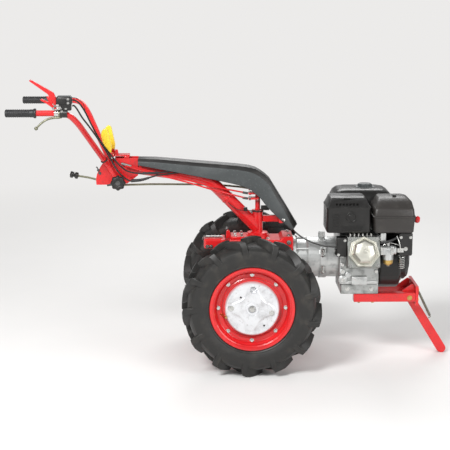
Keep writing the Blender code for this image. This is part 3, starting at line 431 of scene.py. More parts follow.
def bevelled(obj, width, segments=2, angle=35):
    rounder = obj.modifiers.new("rounded", "BEVEL")
    rounder.width, rounder.segments = width, segments
    rounder.limit_method, rounder.angle_limit = "ANGLE", math.radians(angle)
    rounder.harden_normals = False
    return obj


def middle(node):
    low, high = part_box(node)
    return (Vector(low) + Vector(high)) / 2


axleX = middle("tyre_right").x


# camera, floor and light
view = {"fromAxle": (-0.220, -5.461, 1.693), "lens": 101.4, "pitch": 11.48, "yaw": 1.19}
camera = bpy.data.cameras.new("camera")
camera.lens = view["lens"]
camera.sensor_width = 36.0
cameraObject = bpy.data.objects.new("camera", camera)
cameraObject.location = Vector(view["fromAxle"]) + Vector((axleX, 0, 0))
cameraObject.rotation_euler = (math.radians(90 - view["pitch"]), 0, math.radians(-view["yaw"]))
bpy.context.scene.collection.objects.link(cameraObject)
bpy.context.scene.camera = cameraObject

stage = {"size": 60.0, "colour": (0.80, 0.79, 0.78), "sky": 0.36, "backdrop": (0.84, 0.83, 0.82),
         "fadeFrom": 1.2, "fadeTo": 5.0}
bm = bmesh.new()
bmesh.ops.create_grid(bm, x_segments=1, y_segments=1, size=stage["size"])
floorMesh = bpy.data.meshes.new("floor")
bm.to_mesh(floorMesh)
bm.free()
floor = bpy.data.objects.new("floor", floorMesh)
bpy.context.scene.collection.objects.link(floor)
floorSurface = Surface("paleFloor", roughness=0.8)
floorSurface.finish(floorSurface.blend(stage["colour"], (0.77, 0.765, 0.755), floorSurface.noise(3, 3)))
away = floorSurface.node("ShaderNodeVectorMath", {"operation": "LENGTH"}, {0: floorSurface.place}, 1)
glow = floorSurface.node("ShaderNodeEmission", {}, {"Color": stage["backdrop"], "Strength": 1.0})
faded = floorSurface.node("ShaderNodeMixShader", {}, {0: floorSurface.band(away, stage["fadeFrom"],
        stage["fadeTo"]), 1: Value(floorSurface, floorSurface.shader.outputs[0]), 2: glow})
floorSurface.tree.links.new(faded.socket, floorSurface.tree.nodes["Material Output"].inputs["Surface"])
floor.data.materials.append(floorSurface.material)

world = bpy.data.worlds.new("studio")
bpy.context.scene.world = world
world.use_nodes = True
tree = world.node_tree
tree.nodes.clear()
worldOut = tree.nodes.new("ShaderNodeOutputWorld")
lit = tree.nodes.new("ShaderNodeBackground")
seen = tree.nodes.new("ShaderNodeBackground")
lit.inputs[0].default_value = (1, 1, 1, 1)
lit.inputs[1].default_value = stage["sky"]
seen.inputs[0].default_value = (*stage["backdrop"], 1)
seen.inputs[1].default_value = 1.0
rays = tree.nodes.new("ShaderNodeLightPath")
mixer = tree.nodes.new("ShaderNodeMixShader")
tree.links.new(rays.outputs["Is Camera Ray"], mixer.inputs[0])
tree.links.new(lit.outputs[0], mixer.inputs[1])
tree.links.new(seen.outputs[0], mixer.inputs[2])
tree.links.new(mixer.outputs[0], worldOut.inputs[0])

lamps = {  # name: place, size, power
    "key": ((-2.0, -3.4, 3.8), 1.5, 250),
    "fill": ((3.2, -3.2, 2.0), 2.4, 90),
    "back": ((0.5, 3.4, 3.4), 2.4, 90),
}
for name, (place, size, power) in lamps.items():
    lamp = bpy.data.lights.new(name, "AREA")
    lamp.size, lamp.energy = size, power
    lampObject = bpy.data.objects.new(name, lamp)
    lampObject.location = place
    lampObject.rotation_euler = (Vector((0, 0, 0.5)) - Vector(place)).to_track_quat("-Z", "Y").to_euler()
    bpy.context.scene.collection.objects.link(lampObject)
bpy.context.scene.view_settings.view_transform = "Standard"
print("camera and light set")


# tyres
tyreShape = {"pairs": 13, "lugHeight": 0.024, "lugWidth": 0.034, "sweep": 0.115, "steps": 96}


def tyrePiece(side):
    node = "tyre_" + side
    low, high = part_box(node)
    centre = middle(node)
    outer = (high[2] - low[2]) / 2
    half = (high[1] - low[1]) / 2
    sign = 1 if side == "left" else -1
    matrix = Matrix.Translation(centre) @ toward((0, sign, 0))
    casing = outer - tyreShape["lugHeight"]
    rimLow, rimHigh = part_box("rim_" + side)
    lip = (rimHigh[2] - rimLow[2]) / 2
    bead = (rimHigh[1] - rimLow[1]) / 2 - 0.006
    halfProfile = [(lip - 0.014, bead), (lip + 0.0012, bead), (lip + 0.004, bead + 0.008),
                   (lip + 0.009, bead + 0.012),
                   (lip + 0.011, bead + 0.0105), (0.205, half - 0.0085), (0.222, half - 0.005),
                   (0.238, half - 0.005),
                   (0.252, half - 0.009), (casing - 0.010, half - 0.019), (casing - 0.003, half - 0.036),
                   (casing, half - 0.058), (casing + 0.001, 0.0)]
    profile = halfProfile + [(r, -h) for r, h in reversed(halfProfile[:-1])]
    bm = bmesh.new()
    addLathe(bm, profile, matrix, tyreShape["steps"])

    def casingRadius(h):
        h = abs(h)
        outline = [p for p in halfProfile[6:]]
        for (r1, h1), (r2, h2) in zip(outline, outline[1:]):
            if h2 <= h <= h1:
                return r1 + (r2 - r1) * (h1 - h) / max(h1 - h2, 1e-6)
        return outline[0][0]

    count = tyreShape["pairs"]
    for k in range(count * 2):
        lugSide = 1 if k % 2 else -1
        base = 2 * math.pi * k / (count * 2)
        rows = []
        stations = [(0.216, half - 0.006, 0.0), (0.243, half - 0.003, 0.0), (0.270, half - 0.004, 0.02),
                    (outer - 0.005, half - 0.016, 0.10),
                    (outer - 0.0005, half * 0.62, 0.38), (outer, half * 0.34, 0.68),
                    (outer, half * 0.02, 1.0)]
        for number, (topR, h, t) in enumerate(stations):
            angle = base + t * tyreShape["sweep"] * 2.05
            width = tyreShape["lugWidth"] * (0.62 if number == 0 else 0.80 if number < 3 else 1.0)
            bottomR = min(casingRadius(h), topR) - 0.006
            if number < 3:
                bottomR = topR - 0.012
            sideIn = 0.010 if number < 3 else 0.0
            ring = []
            for r, spread, inset in ((topR, 0.40, 0.0), (topR, -0.40, 0.0), (bottomR, -0.62, sideIn),
                                     (bottomR, 0.62, sideIn)):
                a = angle + spread * width / r
                ring.append(bm.verts.new(matrix @ Vector((r * math.cos(a), r * math.sin(a),
                                                          lugSide * (h - inset)))))
            rows.append(ring)
        for low4, high4 in zip(rows, rows[1:]):
            for i in range(4):
                bm.faces.new((low4[i], low4[(i + 1) % 4], high4[(i + 1) % 4], high4[i]))
        bm.faces.new(rows[0])
        bm.faces.new(rows[-1][::-1])
    piece = addPiece("tyre_" + side + "_tread", bm, "wheel_" + side, tyreRubber)
    bevelled(piece, 0.0022, 2, 38)
    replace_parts(piece, node)


for side in ("left", "right"):
    tyrePiece(side)
print("tyres done")


# hub discs and rims
discShape = {"lobes": 87.0, "rise": 0.0042, "waist": 0.060, "reach": 0.034, "steps": 96}
rimShape = {"bolts": 8, "boltCircle": 0.1425, "boltRadius": 0.0062, "stemAngle": 192.0, "stemCircle": 0.133}


def wheelTrim(side):
    sign = 1 if side == "left" else -1
    body = "wheel_" + side
    low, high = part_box("hub_disc_" + side)
    centre = middle("hub_disc_" + side)
    back, face = (low[1], high[1]) if sign > 0 else (high[1], low[1])
    thick = abs(face - back)

    def height(r, angle):
        swing = (1 + math.cos(4 * (angle - math.radians(discShape["lobes"])))) / 2
        edge = discShape["waist"] + discShape["reach"] * swing ** 1.6
        step = min(1, max(0, (edge + 0.004 - r) / 0.008))
        level = thick - discShape["rise"] + discShape["rise"] * step * step * (3 - 2 * step)
        for lobe, cup, depth in ((87, 0.082, 0.016), (177, 0.088, 0.002), (-11, 0.083, 0.002),
                                 (267, 0.082, 0.002)):
            a = math.radians(lobe)
            gap = math.hypot(r * math.cos(angle) - cup * math.cos(a),
                             r * math.sin(angle) - cup * math.sin(a))
            if gap < 0.0125:
                level -= depth
        if r < 0.0165:
            level -= 0.008
        elif 0.026 <= r < 0.029:
            level -= 0.0016
        return level - max(0.0, r - 0.109) * 1.2

    bm = bmesh.new()
    radii = [0.004, 0.0155, 0.0168, 0.025, 0.0265, 0.0285,
             0.030] + [0.034 + 0.0028 * i for i in range(28)] + [0.1125, 0.114]
    steps = discShape["steps"]
    rings = []
    for r in radii:
        rings.append([])
        for i in range(steps):
            a = 2 * math.pi * i / steps
            rings[-1].append(bm.verts.new(Vector((centre.x + r * math.cos(a), back + sign * height(r, a),
                                                  centre.z + r * math.sin(a)))))
    rings.append([bm.verts.new(Vector((v.co.x, back, v.co.z))) for v in rings[-1]])
    for a, b in zip(rings, rings[1:]):
        for i in range(steps):
            bm.faces.new((a[i], a[(i + 1) % steps], b[(i + 1) % steps], b[i]))
    bm.faces.new(rings[0])
    bm.faces.new(rings[-1])
    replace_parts(addPiece("hubDisc" + side, bm, body, discMetal), "hub_disc_" + side)

    def spot(r, degrees, out):
        a = math.radians(degrees)
        return Vector((centre.x + r * math.cos(a), out, centre.z + r * math.sin(a)))

    bm = bmesh.new()
    addBolts(bm, [spot(0.088, 177, face - sign * 0.002), spot(0.083, -11, face - sign * 0.002)],
             (0, sign, 0), 0.008, 0.002)
    addLathe(bm, [(0.0125, 0.0), (0.0125, 0.0062), (0.009, 0.0075), (0.0, 0.0075)],
             Matrix.Translation(Vector((centre.x, face - sign * 0.0085, centre.z))) @ toward((0, sign, 0)),
             24)
    addPiece("discBolts" + side, bm, body, zinc)
    # black discs sunk into the hub disc stand in for its two holes: painted shade, the disc itself is not
    # pierced
    bm = bmesh.new()
    for x, z in ((-0.048, 0.051), (0.050, -0.071)):
        addRod(bm, (centre.x + x, face - sign * 0.006, centre.z + z),
               (centre.x + x, face - sign * 0.0035, centre.z + z), 0.0042)
    addPiece("discHoles" + side, bm, body, blackPaint)
    rimLow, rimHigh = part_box("rim_" + side)
    middleY = (rimLow[1] + rimHigh[1]) / 2
    plate = middleY + sign * 0.0221
    bm = bmesh.new()
    addBolts(bm, [spot(rimShape["boltCircle"], 90 + 360 * k / rimShape["bolts"],
                       plate) for k in range(rimShape["bolts"])],
             (0, sign, 0), rimShape["boltRadius"], 0.006)
    addPiece("rimBolts" + side, bm, body, zinc)
    bm = bmesh.new()
    stem = spot(rimShape["stemCircle"], rimShape["stemAngle"], plate)
    inward = spot(0.118, rimShape["stemAngle"] + 4, plate + sign * 0.026)
    addRod(bm, stem, inward, 0.0045, 14, 0.0035)
    addRod(bm, inward, inward + (inward - stem).normalized() * 0.008, 0.0048, 14)
    addPiece("valveStem" + side, bm, body, brass)
    bm = bmesh.new()
    lipR = (rimHigh[2] - rimLow[2]) / 2
    edge = abs((rimHigh[1] - rimLow[1]) / 2)
    matrix = Matrix.Translation(Vector((centre.x, middleY, centre.z))) @ toward((0, sign, 0))
    addLathe(bm, [(lipR, edge - 0.009), (lipR + 0.002, edge - 0.004), (lipR - 0.001, edge),
                  (lipR - 0.007, edge + 0.0005),
                  (lipR - 0.013, edge - 0.002), (lipR - 0.015, edge - 0.007)], matrix, 96)
    addLathe(bm, [(0.150, 0.0225), (0.150, 0.0262), (0.1485, 0.0275), (0.146, 0.0262), (0.146, 0.0225)],
             matrix, 96)
    addLathe(bm, [(0.131, 0.0222), (0.131, 0.027), (0.128, 0.0288), (0.1255, 0.027), (0.1255, 0.0222)],
             matrix, 96)
    addPiece("rimRings" + side, bm, body, red)


for side in ("left", "right"):
    wheelTrim(side)
print("wheel trim done")


# engine: cylinder, valve cover and the boxes on top
engineShape = {"tilt": 18.0, "finGap": 0.0088, "finThickness": 0.0032, "slots": 7}
tilt = math.radians(engineShape["tilt"])
outward = Vector((0, -math.cos(tilt), math.sin(tilt)))
upward = Vector((0, math.sin(tilt), math.cos(tilt)))
cylinderX = middle("cylinder_block").x - axleX
crankZ = 0.440


def onHead(x, reach, rise):
    spot = Vector((0, 0, crankZ)) + outward * reach + upward * rise
    return at(cylinderX + x, spot.y, spot.z)


headFrame = Matrix((upward.cross(outward), upward, outward)).transposed().to_4x4()


def addHeadBlock(bm, x0, x1, reach0, reach1, rise0, rise1):
    centre = onHead((x0 + x1) / 2, (reach0 + reach1) / 2, (rise0 + rise1) / 2)
    size = (abs(x1 - x0), rise1 - rise0, reach1 - reach0)
    bmesh.ops.create_cube(bm, size=1.0,
                          matrix=Matrix.Translation(centre) @ headFrame @ Matrix.Diagonal((*size, 1)))


bm = bmesh.new()
addHeadBlock(bm, -0.056, 0.056, 0.116, 0.176, -0.052, 0.054)
addHeadBlock(bm, -0.069, 0.069, 0.171, 0.190, -0.066, 0.066)
for k in range(6):
    reach = 0.122 + k * engineShape["finGap"]
    addHeadBlock(bm, -0.069, 0.069, reach, reach + engineShape["finThickness"], -0.064, 0.064)
for x in (-0.060, 0.060):
    for rise in (-0.056, 0.056):
        addRod(bm, onHead(x, 0.116, rise), onHead(x, 0.190, rise), 0.0065, 12)
# the head block takes the darker cast copy, painted shade
block = addPiece("cylinderFins", bm, "chassis", finCastPaintedShade)
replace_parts(bevelled(block, 0.0012, 2), "cylinder_block")
bm = bmesh.new()
addBolts(bm, [onHead(x, 0.190, rise) for x in (-0.060, 0.060) for rise in (-0.057, 0.057)], outward, 0.0062,
         0.005)
addPiece("headBolts", bm, "chassis", zinc)

coverRows = [(0.0685, 0.0), (0.0685, 0.009), (0.0665, 0.0115), (0.0600, 0.0115), (0.0585, 0.0105),
             (0.0565, 0.0108),
             (0.0545, 0.016), (0.0520, 0.028), (0.0485, 0.0365), (0.0430, 0.0425), (0.0340, 0.0463),
             (0.0230, 0.0482),
             (0.0120, 0.0488), (0.0, 0.0490)]
bm = bmesh.new()
turnUp = Matrix.Rotation(math.pi / 2, 4, "Z")
coverFrame = Matrix.Translation(onHead(0, 0.1903, 0)) @ headFrame @ turnUp
addLathe(bm, coverRows, coverFrame, 7)
coverPiece = addPiece("valveCover", bm, "chassis", cover)
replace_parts(bevelled(coverPiece, 0.006, 3, 28), "valve_cover")
bm = bmesh.new()
addLathe(bm, [(0.0098, 0.0), (0.0098, 0.0504), (0.0086, 0.0514), (0.0070, 0.0504), (0.0070, 0.0)],
         coverFrame, 28)
addLathe(bm, [(0.0034, 0.0), (0.0034, 0.0506), (0.0, 0.0512)], coverFrame, 16)
addPiece("coverEmboss", bm, "chassis", cover)

guard = {"x0": 0.3225, "x1": 0.5105, "front": -0.186, "shelf": 0.694}
bm = bmesh.new()
x0, x1, front, shelf = guard["x0"], guard["x1"], guard["front"], guard["shelf"]
addLoft(bm, [(0.584, x0 + 0.004, x1 - 0.004, front + 0.004, -0.031), (0.590, x0, x1, front, -0.030),
             (shelf - 0.010, x0, x1, front, -0.030), (shelf - 0.006, x0 - 0.001, x1 + 0.001, front - 0.0015,
                                                      -0.030),
             (shelf, x0 - 0.001, x1 + 0.001, front - 0.0015, -0.030),
             (shelf + 0.003, x0 + 0.002, x1 - 0.002, front + 0.003, -0.030),
             (0.711, x0 + 0.010, x1 - 0.010, front + 0.024, -0.030),
             (0.727, x0 + 0.017, x1 - 0.017, front + 0.046, -0.031),
             (0.731, x0 + 0.024, x1 - 0.024, front + 0.058, -0.034)], 0.012, 4)
box = addPiece("mufflerGuard", bm, "chassis", blackPaint)
bm = bmesh.new()
for k in range(engineShape["slots"]):
    x = x0 + 0.044 + k * 0.0145
    slotFrame = Matrix.Translation(at(x, front + 0.013, 0.7045)) @ Matrix.Rotation(math.radians(-38), 4,
            "X")
    bmesh.ops.create_cube(bm, size=1.0, matrix=slotFrame @ Matrix.Diagonal((0.0092, 0.018, 0.014, 1)))
for k, x in enumerate((0.412, 0.420)):
    slotFrame = Matrix.Translation(at(x, front + 0.042 + 0.030 * k, 0.7245 + 0.006 * k))
    bmesh.ops.create_cube(bm, size=1.0, matrix=slotFrame @ Matrix.Diagonal((0.030, 0.008, 0.012, 1)))
for k in range(7):
    z = 0.603 + k * 0.0125
    bmesh.ops.create_cube(bm, size=1.0, matrix=Matrix.Translation(at(x0, front + 0.070, z))
                          @ Matrix.Rotation(math.radians(25), 4,
                                            "X") @ Matrix.Diagonal((0.010, 0.085, 0.0055, 1)))
for k in range(5):
    z = 0.612 + k * 0.0125
    addBlock(bm, at(x0 + 0.026, front - 0.003, z), at(x0 + 0.052, front + 0.0022, z + 0.0045))
for k in range(3):
    z = 0.594 + k * 0.0080
    addBlock(bm, at(x0 + 0.064, front - 0.003, z), at(x1 - 0.040 + 0.004 * k, front + 0.0022, z + 0.0038))
carve(box, bm)
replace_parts(box, "muffler_guard")
bm = bmesh.new()
ring = Matrix.Translation(at(0.4275, front, 0.6525)) @ toward((0, -1, 0))
addLathe(bm, [(0.024, -0.001), (0.024, 0.0012), (0.0225, 0.0022), (0.0185, 0.0022), (0.017, 0.0012),
              (0.017, -0.001)], ring, 36)
addRod(bm, at(0.4275, front + 0.001, 0.6525), at(0.4275, front - 0.0018, 0.6525), 0.013, 6)
bevelled(addPiece("guardEmboss", bm, "chassis", blackPaint), 0.0008)

cleaner = {"x0": 0.5213, "x1": 0.7010, "front": -0.196, "seam": 0.6530}
bm = bmesh.new()
x0, x1, front, seam = cleaner["x0"], cleaner["x1"], cleaner["front"], cleaner["seam"]
addLoft(bm, [(0.5835, x0 + 0.010, x1 - 0.008, front + 0.010, -0.031),
             (0.588, x0 + 0.006, x1 - 0.005, front + 0.006, -0.030),
             (seam - 0.003, x0 + 0.002, x1 - 0.001, front + 0.002, -0.030),
             (seam - 0.002, x0 - 0.001, x1 + 0.001, front - 0.0015, -0.030),
             (seam + 0.003, x0 - 0.001, x1 + 0.001, front - 0.0015, -0.030),
             (seam + 0.004, x0 + 0.002, x1 - 0.002, front + 0.002, -0.030),
             (0.684, x0 + 0.004, x1 - 0.005, front + 0.005, -0.030),
             (0.690, x0 + 0.007, x1 - 0.007, front + 0.009, -0.030),
             (0.712, x0 + 0.020, x1 - 0.011, front + 0.036, -0.031),
             (0.724, x0 + 0.027, x1 - 0.024, front + 0.060, -0.033),
             (0.728, x0 + 0.034, x1 - 0.038, front + 0.078, -0.036)], 0.014, 4)
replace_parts(addPiece("airCleaner", bm, "chassis", warmPlastic), "air_cleaner")
bm = bmesh.new()
addRod(bm, at(0.698, -0.150, 0.638), at(0.7055, -0.150, 0.636), 0.0125, 20)
addBlock(bm, at(0.612, -0.112, 0.7275), at(0.628, -0.096, 0.7345))
addPiece("cleanerClips", bm, "chassis", blackPlastic)
bm = bmesh.new()
knobFrame = Matrix.Translation(at(0.7055, -0.150, 0.636)) @ toward((1, 0, -0.1))
addLathe(bm, [(0.0, 0.0), (0.0125, 0.0), (0.0155, 0.005), (0.0155, 0.013), (0.011, 0.019), (0.0, 0.0205)],
         knobFrame, 24)
addPiece("cleanerKnob", bm, "chassis", red)

tank = {"x0": 0.362, "x1": 0.642, "rear": 0.190}
bm = bmesh.new()
x0, x1, rear = tank["x0"], tank["x1"], tank["rear"]
addLoft(bm, [(0.6205, x0 + 0.012, x1 - 0.012, -0.018, rear - 0.012), (0.632, x0, x1, -0.026, rear),
             (0.640, x0 - 0.003, x1 + 0.003, -0.029, rear + 0.003),
             (0.645, x0 - 0.003, x1 + 0.003, -0.029, rear + 0.003),
             (0.648, x0 + 0.001, x1 - 0.001, -0.026, rear - 0.001),
             (0.698, x0 + 0.005, x1 - 0.006, -0.022, rear - 0.006),
             (0.720, x0 + 0.015, x1 - 0.022, -0.012, rear - 0.016),
             (0.733, x0 + 0.028, x1 - 0.040, 0.000, rear - 0.030),
             (0.7385, x0 + 0.045, x1 - 0.058, 0.016, rear - 0.048)], 0.028, 6)
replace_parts(addPiece("fuelTank", bm, "chassis", blackPaint), "fuel_tank")
capLow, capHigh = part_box("fuel_cap")
bm = bmesh.new()
capFrame = Matrix.Translation(Vector(((capLow[0] + capHigh[0]) / 2, (capLow[1] + capHigh[1]) / 2,
                                      capLow[2] - 0.0085)))
addLathe(bm, [(0.0, 0.0), (0.044, 0.0), (0.044, 0.003), (0.034, 0.0045), (0.030, 0.0045), (0.030, 0.0130),
              (0.027, 0.0165), (0.0, 0.0175)], capFrame, 48)
for k in range(18):
    a = 2 * math.pi * k / 18
    spot = capFrame @ Vector((0.0298 * math.cos(a), 0.0298 * math.sin(a), 0.0045))
    addRod(bm, spot, spot + Vector((0, 0, 0.0088)), 0.0022, 8)
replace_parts(addPiece("fuelCap", bm, "chassis", greyPlastic), "fuel_cap")
print("engine top done")


# engine: carburettor, crankcase fittings, clutch bolts
bm = bmesh.new()
addBlock(bm, at(0.5552, -0.186, 0.487), at(0.585, -0.142, 0.520))
addRod(bm, at(0.555, -0.165, 0.505), at(0.6245, -0.165, 0.505), 0.019, 24)
addBlock(bm, at(0.598, -0.186, 0.487), at(0.612, -0.142, 0.524))
addRod(bm, at(0.591, -0.163, 0.462), at(0.591, -0.163, 0.500), 0.0225, 28)
addRod(bm, at(0.591, -0.163, 0.520), at(0.591, -0.163, 0.540), 0.0075, 14)
addBlock(bm, at(0.5552, -0.180, 0.545), at(0.578, -0.145, 0.5825))
addPiece("carburettorBody", bm, "chassis", cast)
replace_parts(bevelled(bpy.data.objects["carburettorBody"], 0.002), "carburettor")
bm = bmesh.new()
addLathe(bm, [(0.0, 0.0), (0.006, 0.0), (0.0075, 0.004), (0.016, 0.006), (0.0215, 0.012), (0.0222, 0.028),
              (0.0, 0.028)],
         Matrix.Translation(at(0.591, -0.163, 0.4365)), 32)
addPiece("floatBowl", bm, "chassis", brass)
bm = bmesh.new()
addBolts(bm, [at(0.591, -0.163, 0.4365)], (0, 0, -1), 0.0055, 0.0)
addBolts(bm, [at(0.562, -0.186, 0.512), at(0.605, -0.186, 0.512), at(0.562, -0.186, 0.494),
              at(0.605, -0.186, 0.494)], (0, -1, 0), 0.0042, 0.003)
addCoil(bm, at(0.650, -0.165, 0.4795), at(0.650, -0.165, 0.425), 0.0115, 0.0022, 7)
addSweep(bm, wirePath([(0.625, -0.172, 0.566), (0.634, -0.180, 0.545), (0.640, -0.182, 0.520),
                       (0.638, -0.178, 0.500)], 6), 0.0028)
addSweep(bm, wirePath([(0.565, -0.188, 0.530), (0.590, -0.188, 0.541), (0.620, -0.186, 0.535),
                       (0.636, -0.180, 0.528)], 6), 0.0012, 6)
addPiece("carburettorFittings", bm, "chassis", zinc)
bm = bmesh.new()
addSweep(bm, wirePath([(0.556, -0.184, 0.540), (0.575, -0.192, 0.545), (0.600, -0.190, 0.552),
                       (0.622, -0.178, 0.560)], 8), 0.0052, 12)
addPiece("fuelHose", bm, "chassis", gripRubber)
bm = bmesh.new()
addBlock(bm, at(0.628, -0.1795, 0.497), at(0.655, -0.1765, 0.515))
addBolts(bm, [at(0.664, -0.178, 0.512)], (0, -1, 0), 0.0062, 0.004)
addBolts(bm, [at(x, -0.178, 0.562) for x in (0.643, 0.684)], (0, -1, 0), 0.0045, 0.003)
addPiece("ductClip", bm, "chassis", zinc)

face = -0.1158
bm = bmesh.new()
for x, z, r, out in ((0.402, 0.364, 0.020, 0.010), (0.402, 0.364, 0.0145, 0.014),
                     (0.425, 0.384, 0.014, 0.008), (0.452, 0.366, 0.012, 0.007),
                     (0.400, 0.400, 0.013, 0.009), (0.400, 0.430, 0.009, 0.007),
                     (0.400, 0.470, 0.008, 0.006), (0.548, 0.400, 0.008, 0.006)):
    addRod(bm, at(x, face + 0.002, z), at(x, face - out, z), r, 24, r * 0.93)
addBlock(bm, at(0.396, face - 0.005, 0.344), at(0.556, face + 0.003, 0.356))
addBlock(bm, at(0.440, face - 0.012, 0.342), at(0.508, face + 0.003, 0.378))
addBlock(bm, at(0.388, face - 0.004, 0.395), at(0.394, face + 0.003, 0.540))
bevelled(addPiece("crankcaseBosses", bm, "chassis", cast), 0.0015)
bm = bmesh.new()
addBolts(bm, [at(0.402, face - 0.014, 0.364)], (0, -1, 0), 0.0085, 0.004, False)
addBolts(bm, [at(0.400, face - 0.009, 0.400), at(0.452, face - 0.007, 0.366),
              at(0.400, face - 0.007, 0.430), at(0.400, face - 0.006, 0.470),
              at(0.548, face - 0.006, 0.400)], (0, -1, 0), 0.005, 0.004)
addBolts(bm, [at(0.425, -0.1055, 0.318), at(0.530, -0.1055, 0.318)], (0, -1, 0), 0.0065, 0.005)
addBolts(bm, [at(x, -0.085, 0.3405) for x in (0.404, 0.548)], (0, 0, 1), 0.0065, 0.006)
addPiece("crankcaseBolts", bm, "chassis", zinc)
bm = bmesh.new()
addBlock(bm, at(0.370, -0.160, 0.474), at(0.4140, -0.1165, 0.558))
addBlock(bm, at(0.364, -0.150, 0.480), at(0.371, -0.120, 0.505))
bevelled(addPiece("controlBlock", bm, "chassis", blackPlastic), 0.003)
bm = bmesh.new()
addBolts(bm, [at(0.378, -0.160, 0.483), at(0.405, -0.160, 0.546)], (0, -1, 0), 0.0042, 0.003)
for x in (0.428, 0.446, 0.464, 0.482, 0.500, 0.518):
    addRod(bm, at(x, -0.150, 0.556), at(x, -0.150, 0.574), 0.0042, 12)
addPiece("blockScrews", bm, "chassis", zinc)

clutch = {"start": 0.1903, "boltCircle": 0.0868, "bolts": 8}
bm = bmesh.new()
spots = []
for k in range(clutch["bolts"]):
    a = 2 * math.pi * (k + 0.3) / clutch["bolts"]
    spots.append(at(clutch["start"] + 0.0122, clutch["boltCircle"] * math.cos(a),
                    crankZ + clutch["boltCircle"] * math.sin(a)))
addBolts(bm, spots, (1, 0, 0), 0.0058, 0.006)
addRod(bm, at(0.318, -0.0150, 0.545), at(0.318, -0.060, 0.545), 0.003, 10)
for z, y in ((0.478, -0.088), (0.404, -0.0885)):
    addRod(bm, at(0.318, y, z + 0.010), at(0.318, y, z - 0.012), 0.0055, 14)
    addBolts(bm, [at(0.318, y, z - 0.012)], (0, 0, -1), 0.0075, 0.006)
    addBolts(bm, [at(0.318, y, z + 0.010)], (0, 0, 1), 0.0075, 0.004)
addPiece("clutchBolts", bm, "chassis", zinc)
bm = bmesh.new()
for k in range(6):
    a = math.radians(60 * k + 24)
    addRod(bm, at(0.201, 0.083 * math.cos(a), crankZ + 0.083 * math.sin(a)),
           at(0.262, 0.084 * math.cos(a), crankZ + 0.084 * math.sin(a)), 0.004, 8)
addSweep(bm, wirePath([(0.3065, -0.010, 0.533), (0.3065, -0.010, 0.5515), (0.311, -0.010, 0.5525),
                       (0.325, -0.010, 0.5525), (0.3295, -0.010, 0.5515), (0.3295, -0.010, 0.533)], 5),
         0.0028, 8)
for x in (0.3085, 0.3275):
    addBlock(bm, at(x - 0.0025, -0.0925, 0.478), at(x + 0.0025, -0.080, 0.500))
addLathe(bm, [(0.0885, 0.0), (0.0925, 0.0), (0.0925, 0.005), (0.0885, 0.006)],
         Matrix.Translation(at(0.3318, 0, crankZ)) @ toward((1, 0, 0)), 64)
addPiece("clutchRibs", bm, "chassis", cast)
bm = bmesh.new()
addLathe(bm, [(0.060, 0.0440), (0.060, 0.0452), (0.056, 0.0452), (0.056, 0.0440)],
         Matrix.Translation(at(0.6563, 0, crankZ)) @ toward((1, 0, 0)), 48)
for k in range(10):
    a = 2 * math.pi * k / 10
    addRod(bm, at(0.676, 0.088 * math.cos(a), crankZ + 0.088 * math.sin(a)),
           at(0.6865, 0.088 * math.cos(a), crankZ + 0.088 * math.sin(a)), 0.006, 12)
addPiece("starterGuard", bm, "chassis", blackPlastic)
bm = bmesh.new()
addBolts(bm, [at(0.6565, 0.118 * math.cos(a), crankZ + 0.118 * math.sin(a)) for a in (0.7, 2.4, 3.9, 5.5)],
         (1, 0, 0), 0.006, 0.004)
addPiece("starterBolts", bm, "chassis", zinc)
print("engine done")


# grips, levers and housing on the handlebar
gripShape = {"ribs": 11, "groove": 0.0011, "radius": 0.0165}


def gripPiece(side):
    low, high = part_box("grip_" + side)
    length = high[0] - low[0]
    r, groove = gripShape["radius"], gripShape["groove"]
    profile = [(0.0, 0.0), (0.0110, 0.0), (0.0150, 0.0022), (r, 0.0060)]
    for k in range(gripShape["ribs"]):
        start = 0.010 + k * (length - 0.032) / gripShape["ribs"]
        profile += [(r, start), (r - groove, start + 0.0018), (r - groove, start + 0.0036),
                    (r, start + 0.0052)]
    profile += [(r, length - 0.012), (0.0198, length - 0.0075), (0.0204, length - 0.004), (0.0195, length),
                (0.0, length)]
    bm = bmesh.new()
    addLathe(bm, profile, Matrix.Translation(Vector((low[0], (low[1] + high[1]) / 2,
                                                     (low[2] + high[2]) / 2)))
             @ toward((1, 0, 0)), 36)
    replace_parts(addPiece("ribbedGrip" + side, bm, "handlebar", gripRubber), "grip_" + side)


for side in ("left", "right"):
    gripPiece(side)

housing = {"y0": -0.2915, "y1": -0.2405}
bm = bmesh.new()
addLoft(bm, [(1.1465, -0.8015, -0.7385, housing["y0"], housing["y1"]),
             (1.150, -0.802, -0.738, housing["y0"] - 0.0005, housing["y1"]),
             (1.172, -0.801, -0.739, housing["y0"], housing["y1"]),
             (1.178, -0.797, -0.743, housing["y0"] + 0.004, housing["y1"] - 0.004)], 0.006, 3)
addLoft(bm, [(1.1205, -0.786, -0.742, -0.287, -0.246), (1.147, -0.792, -0.741, -0.289, -0.244)], 0.005, 3)
addBlock(bm, at(-0.800, -0.2935, 1.153), at(-0.762, -0.291, 1.168))
tubeHere = Matrix.Translation(at(-0.788, -0.2695, 1.1072)) @ toward((1, 0, 0))
addLathe(bm, [(0.0128, 0.0), (0.0172, 0.0), (0.0172, 0.030), (0.0128, 0.030)], tubeHere, 28)
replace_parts(bevelled(addPiece("leverHousing", bm, "handlebar", blackPlastic), 0.001), "lever_housing")
